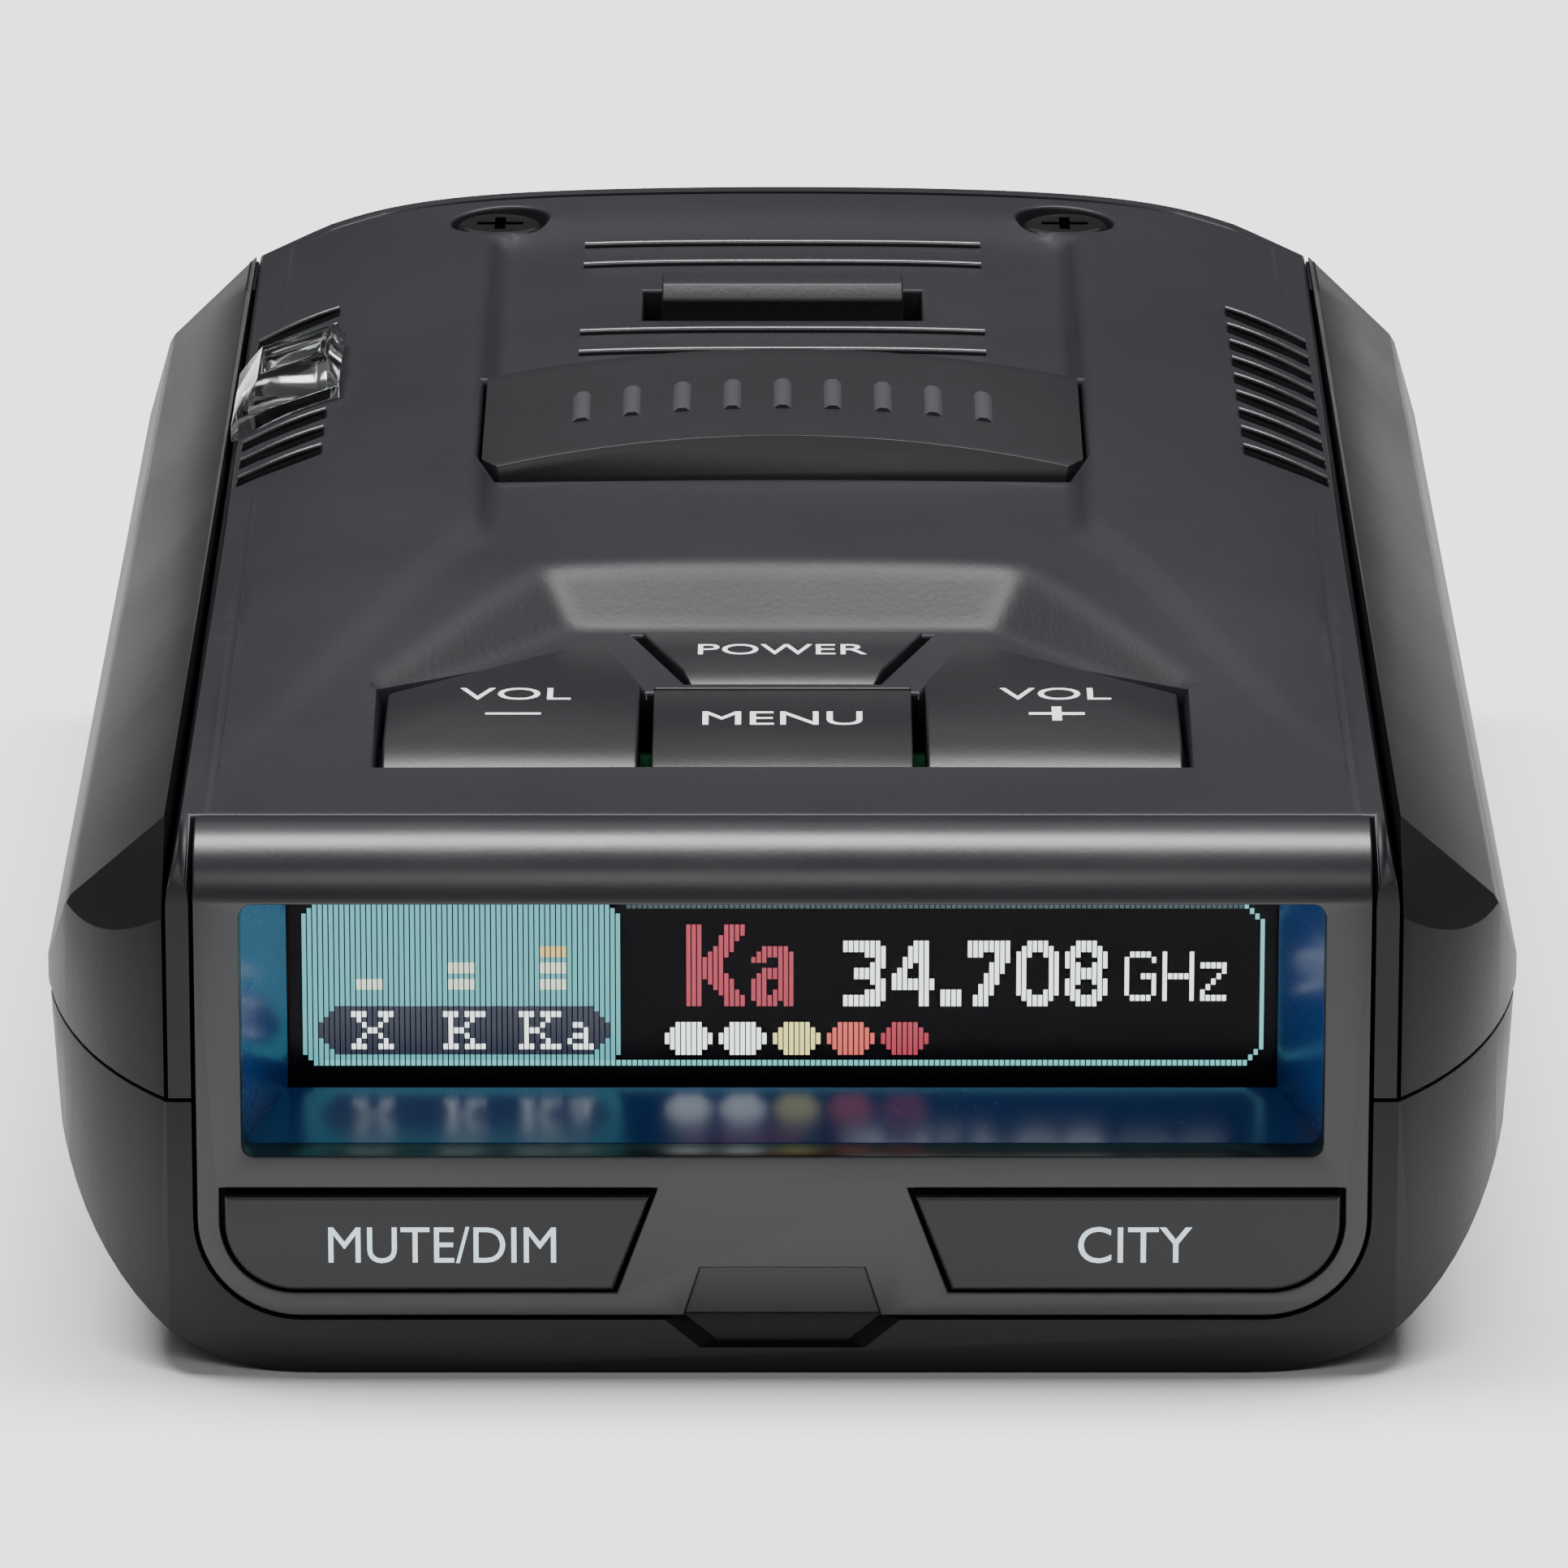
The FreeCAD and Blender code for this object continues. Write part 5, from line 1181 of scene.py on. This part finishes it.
@dataclass(frozen=True)
class Legend:
    """A word printed on a key, scaled to a width and a height."""

    name: str
    text: str
    node: str
    body: str
    centre: Point             # X, and Y on the deck or Z on the face
    size: Point
    facing: Facing
    finish: Finish
    weight: float = 0.0
    raised: float = 0.012

    def build(self) -> None:
        """Makes the legend's mesh and puts it on its key."""
        curve = bpy.data.curves.new(self.name, "FONT")
        curve.body = self.text
        curve.extrude = 0.5
        curve.offset = self.weight
        curve.resolution_u = 5
        helper = bpy.data.objects.new(self.name + "_text", curve)
        bpy.context.scene.collection.objects.link(helper)
        mesh = evaluated(helper)
        bpy.data.objects.remove(helper)
        self.put(mesh)
        new_piece(self.name, mesh, self.body, self.finish)

    def put(self, mesh: bpy.types.Mesh) -> None:
        """Scales a mesh to the legend's size and moves it onto its key.

        Args:
            mesh: The flat word, to be changed.
        """
        work = bmesh.new()
        work.from_mesh(mesh)
        bmesh.ops.remove_doubles(work, verts=work.verts, dist=1e-5)
        work.to_mesh(mesh)
        work.free()
        corners = np.array([vertex.co[:] for vertex in mesh.vertices])
        low, high = corners.min(axis=0), corners.max(axis=0)
        middle = Vector((low + high) / 2.0)
        scale = (self.size[0] * MM / (high[0] - low[0]), self.size[1] * MM / (high[1] - low[1]),
                 2.0 * self.raised * MM)
        box_low, box_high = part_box(self.node)
        if self.facing is Facing.UP:
            place = Matrix.Translation((self.centre[0] * MM, frame_y(self.centre[1]), box_high.z))
        else:
            turn = Matrix.Rotation(math.radians(90.0), 4, "X")
            place = Matrix.Translation((self.centre[0] * MM, box_low.y, self.centre[1] * MM)) @ turn
        mesh.transform(place @ Matrix.Diagonal((*scale, 1.0)) @ Matrix.Translation(-middle))


LEGENDS = (
    Legend("power_legend", "POWER", "power_button", "power_key", (0.0, 31.15), (8.5, 1.75), Facing.UP,
           WHITE_INK_PAINTED_GLOW),
    Legend("menu_legend", "MENU", "menu_button", "menu_key", (0.0, 19.0), (7.9, 2.2), Facing.UP, WHITE_INK_PAINTED_GLOW),
    Legend("volume_down_legend", "VOL", "volume_down_button", "volume_down_key", (-13.25, 22.1), (5.5, 1.95),
           Facing.UP, WHITE_INK_PAINTED_GLOW),
    Legend("volume_down_sign", "−", "volume_down_button", "volume_down_key", (-13.3, 18.8), (2.75, 0.28),
           Facing.UP, WHITE_INK_PAINTED_GLOW),
    Legend("volume_up_legend", "VOL", "volume_up_button", "volume_up_key", (13.55, 22.1), (5.5, 1.95),
           Facing.UP, WHITE_INK_PAINTED_GLOW),
    Legend("volume_up_sign", "+", "volume_up_button", "volume_up_key", (13.55, 18.8), (2.75, 2.3),
           Facing.UP, WHITE_INK_PAINTED_GLOW),
    Legend("mute_dim_legend", "MUTE/DIM", "mute_dim_button", "mute_dim_key", (-16.45, 6.75), (11.0, 1.85),
           Facing.FRONT, LIT_INK),
    Legend("city_legend", "CITY", "city_button", "city_key", (17.05, 6.75), (5.5, 1.85), Facing.FRONT,
           LIT_INK),
)


# --- Lit display -----------------------------------------------------------------------------------

class Tint(Enum):
    """The display's colours."""

    WHITE = (2.20, 2.40, 2.35)
    TEAL = (0.140, 0.640, 0.680)
    PALE_TEAL = (0.24, 0.85, 0.88)
    NAVY = (0.010, 0.018, 0.050)
    CRIMSON = (0.62, 0.035, 0.085)
    PALE_YELLOW = (1.60, 1.50, 0.55)
    SALMON = (1.10, 0.16, 0.13)
    AMBER = (1.20, 0.90, 0.30)
    CREAM = (1.30, 1.45, 1.20)
    DIM_TEAL = (0.020, 0.075, 0.085)


GLYPHS: dict[str, tuple[str, ...]] = {
    "X": ("###..###", ".#....#.", "..#..#..", "...##...", "..#..#..", ".#....#.", "###..###"),
    "K": ("###.####", ".#...#..", ".#..#...", ".###....", ".#..#...", ".#...#..", "###.####"),
    "a": (".##..", "...#.", ".###.", "#..#.", ".####"),
    "big K": ("###....####", "###....####", "###...####.", "###...###..", "###..####..", "###.####...",
              "#######....", "#######....", "#######....", "########...", "###.#####..", "###..####..",
              "###...####.", "###....####", "###....####"),
    "big a": ("..#####.", ".#######", "###..###", ".....###", "..######", ".#######", "###..###", "###..###",
              "###.####", "########", ".####.##"),
    "3": ("#######.", "########", "....####", "......##", ".....###", "..#####.", "..#####.", ".....###",
          "......##", "....####", "########", "#######."),
    "4": ("....###.", "...####.", "...####.", "..#####.", "..##.##.", ".##..##.", "###..##.", "########",
          "########", ".....##.", ".....##.", ".....##."),
    "7": ("########", "########", "###..###", ".....###", "....###.", "....###.", "...###..", "...###..",
          "..###...", "..###...", ".###....", ".###...."),
    "0": ("..####..", ".######.", "###..###", "##....##", "##....##", "##....##", "##....##", "##....##",
          "##....##", "###..###", ".######.", "..####.."),
    "8": ("..####..", ".######.", "###..###", "##....##", "###..###", ".######.", ".######.", "###..###",
          "##....##", "###..###", ".######.", "..####.."),
    ".": ("####", "####", "####"),
    "G": (".####.", "#....#", "#.....", "#.....", "#..###", "#....#", "#....#", "#....#", ".####."),
    "H": ("#....#", "#....#", "#....#", "#....#", "######", "#....#", "#....#", "#....#", "#....#"),
    "z": ("#####", "....#", "...#.", "..#..", ".#...", "#....", "#####"),
}


@dataclass
class Picture:
    """The lit dots of the display: a signal panel, a band, a frequency and a row of strength marks."""

    columns: int = 178
    rows: int = 30
    left: float = -23.46
    low: float = 12.90
    pitch_x: float = 0.2640
    pitch_z: float = 0.2790
    dot_width: float = 0.78
    dot_height: float = 1.06
    gap: float = 0.02         # from the panel's glass to the dots
    panel_columns: int = 59
    dots: dict[tuple[int, int], Tint] = field(default_factory=dict)

    def block(self, x0: int, x1: int, y0: int, y1: int, tint: Tint, corner: int = 0) -> None:
        """Lights a rectangle of dots with stepped corners.

        Args:
            x0: First column.
            x1: Column after the last.
            y0: First row from the top.
            y1: Row after the last.
            tint: Its colour.
            corner: How many dots each corner loses.
        """
        for column in range(x0, x1):
            for row in range(y0, y1):
                inset = min(column - x0, x1 - 1 - column) + min(row - y0, y1 - 1 - row)
                if inset >= corner:
                    self.dots[column, row] = tint

    def glyph(self, name: str, column: int, row: int, tint: Tint) -> None:
        """Lights a glyph whose top left dot is at a column and a row."""
        for down, line in enumerate(GLYPHS[name]):
            for across, mark in enumerate(line):
                if mark == "#":
                    self.dots[column + across, row + down] = tint

    def draw(self) -> None:
        """Lights the whole picture."""
        last = self.columns - 1
        self.block(0, self.panel_columns, 0, self.rows, Tint.TEAL, 2)
        for column in range(4, last - 2):
            self.dots[column, self.rows - 1] = Tint.PALE_TEAL
        for column in range(self.panel_columns + 1, last - 2):
            self.dots[column, 0] = Tint.DIM_TEAL
        for row in range(3, self.rows - 3):
            self.dots[last, row] = Tint.PALE_TEAL
        for step in range(4):
            self.dots[last - step, self.rows - 4 + step] = Tint.PALE_TEAL
            self.dots[last - step, 3 - step] = Tint.PALE_TEAL
        self.block(3, 57, 19, 28, Tint.NAVY, 3)
        for name, column, row in (("X", 9, 20), ("K", 26, 20), ("K", 40, 20), ("a", 49, 22)):
            self.glyph(name, column, row, Tint.WHITE)
        for column, bars in ((10, 1), (27, 2), (44, 3)):
            for bar in range(bars):
                tint = Tint.AMBER if bar == 2 else Tint.CREAM
                self.block(column, column + 5, 14 - 3 * bar, 16 - 3 * bar, tint)
        self.glyph("big K", 71, 4, Tint.CRIMSON)
        self.glyph("big a", 83, 8, Tint.CRIMSON)
        places = (("3", 100), ("4", 109), (".", 118), ("7", 123), ("0", 132), ("8", 141))
        for name, column in places:
            row = 16 if name == "." else 7
            self.glyph(name, column, row, Tint.WHITE)
        for name, column, row in (("G", 152, 9), ("H", 159, 9), ("z", 166, 11)):
            self.glyph(name, column, row, Tint.WHITE)
        tints = (Tint.WHITE, Tint.WHITE, Tint.PALE_YELLOW, Tint.SALMON, Tint.CRIMSON)
        for index, tint in enumerate(tints):
            self.block(67 + 10 * index, 76 + 10 * index, 22, 28, tint, 2)

    def points(self) -> bpy.types.Mesh:
        """A mesh with one coloured point for each lit dot."""
        panel_low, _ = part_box("display_panel")
        places, colours = [], []
        for (column, row), tint in sorted(self.dots.items(), key=lambda item: item[0]):
            x = self.left + (column + 0.5) * self.pitch_x
            z = self.low + (self.rows - row - 0.5) * self.pitch_z
            places.append((x * MM, panel_low.y - self.gap * MM, z * MM))
            colours.extend((*tint.value, 1.0))
        mesh = bpy.data.meshes.new("dot_points")
        mesh.from_pydata(places, [], [])
        mesh.attributes.new(DOTS.attribute, "FLOAT_COLOR", "POINT").data.foreach_set("color", colours)
        return mesh

    @staticmethod
    def dot_tree() -> bpy.types.NodeTree:
        """The tree that puts a dot on every point."""
        tree = Geometry("display dots", {"Dot Size": "NodeSocketVector"})
        square = tree.add("GeometryNodeMeshGrid", sockets={"Size X": 1.0, "Size Y": 1.0, "Vertices X": 2,
                                                           "Vertices Y": 2})
        sockets = {0: square.outputs[0], "Scale": tree.input["Dot Size"]}
        flat = tree.add("GeometryNodeTransform", sockets=sockets)
        sockets = {0: flat.outputs[0], "Rotation": (math.radians(90.0), 0.0, 0.0)}
        up = tree.add("GeometryNodeTransform", sockets=sockets)
        sockets = {"Points": tree.input["Geometry"], "Instance": up.outputs[0]}
        copies = tree.add("GeometryNodeInstanceOnPoints", sockets=sockets).outputs[0]
        return tree.finish(copies, DOTS)

    def build(self) -> None:
        """Makes the dots."""
        self.draw()
        size = (self.pitch_x * self.dot_width * MM, self.pitch_z * self.dot_height * MM, 1.0)
        mesh = run_tree("dots", self.points(), self.dot_tree(), {"Dot Size": size})
        new_piece("display_dots", mesh, "case", DOTS)


# --- Stage -----------------------------------------------------------------------------------------

@dataclass(frozen=True)
class Lamp:
    """A soft rectangular light."""

    name: str
    place: tuple[float, float, float]
    aim: tuple[float, float, float]
    size: Point       # width and height in metres
    power: float      # watts

    def build(self) -> None:
        """Adds it to the scene."""
        lamp = bpy.data.lights.new(self.name, "AREA")
        lamp.shape = "RECTANGLE"
        lamp.size, lamp.size_y = self.size
        lamp.energy = self.power
        holder = bpy.data.objects.new(self.name, lamp)
        holder.location = self.place
        towards = Vector(self.aim) - Vector(self.place)
        holder.rotation_euler = towards.to_track_quat("-Z", "Y").to_euler()
        bpy.context.scene.collection.objects.link(holder)


LAMPS = (
    Lamp("overhead", (0.0, 0.12, 0.90), (0.0, 0.0, 0.0), (1.10, 0.30), 30.0),
    Lamp("rear", (0.0, 0.75, 0.75), (0.0, 0.0, 0.0), (1.10, 0.50), 0.8),
    Lamp("front", (0.0, -0.95, 0.75), (0.0, -0.02, 0.02), (0.90, 0.30), 3.5),
)


@dataclass
class Stage:
    """Floor, lights and camera."""

    camera_back: float = 0.5298       # from the bezel's face to the camera
    camera_high: float = 0.19842
    camera_pitch: float = 17.636
    lens: float = 267.154
    sensor: float = 36.0
    shift: float = 0.001
    floor_half: float = 3.0
    world_light: float = 0.055

    def floor(self) -> None:
        """Adds the plain pale floor."""
        mesh = bpy.data.meshes.new("floor")
        half = self.floor_half
        corners = [(-half, -half, 0), (half, -half, 0), (half, half, 0), (-half, half, 0)]
        mesh.from_pydata(corners, [], [(0, 1, 2, 3)])
        plane = bpy.data.objects.new("floor", mesh)
        bpy.context.scene.collection.objects.link(plane)
        tree = Shader("floor")
        mesh.materials.append(tree.surface(Base_Color=(0.86, 0.86, 0.86, 1.0), Roughness=0.9))

    def world(self) -> None:
        """Gives the surroundings an even dim light."""
        world = bpy.data.worlds.new("studio")
        world.use_nodes = True
        world.node_tree.nodes["Background"].inputs[0].default_value = (1.0, 1.0, 1.0, 1.0)
        world.node_tree.nodes["Background"].inputs[1].default_value = self.world_light
        bpy.context.scene.world = world

    def camera(self) -> None:
        """Adds the camera in front of the display."""
        data = bpy.data.cameras.new("camera")
        data.lens = self.lens
        data.sensor_width = self.sensor
        data.shift_x = self.shift
        data.clip_start = 0.01
        holder = bpy.data.objects.new("camera", data)
        holder.location = (0.0, BEZEL_Y - self.camera_back, self.camera_high)
        holder.rotation_euler = (math.radians(90.0 - self.camera_pitch), 0.0, 0.0)
        bpy.context.scene.collection.objects.link(holder)
        bpy.context.scene.camera = holder

    def build(self) -> None:
        """Makes the whole stage."""
        self.floor()
        self.world()
        self.camera()
        for lamp in LAMPS:
            lamp.build()


def main() -> None:
    """Builds every class in order and reports the pieces."""
    Stage().build()
    Deck().build()
    for part in EASED:
        part.build()
    dress_carried()
    GripBars().build()
    for legend in LEGENDS:
        legend.build()
    Picture().build()
    log.info("all pieces made")


if __name__ == "__main__":
    main()
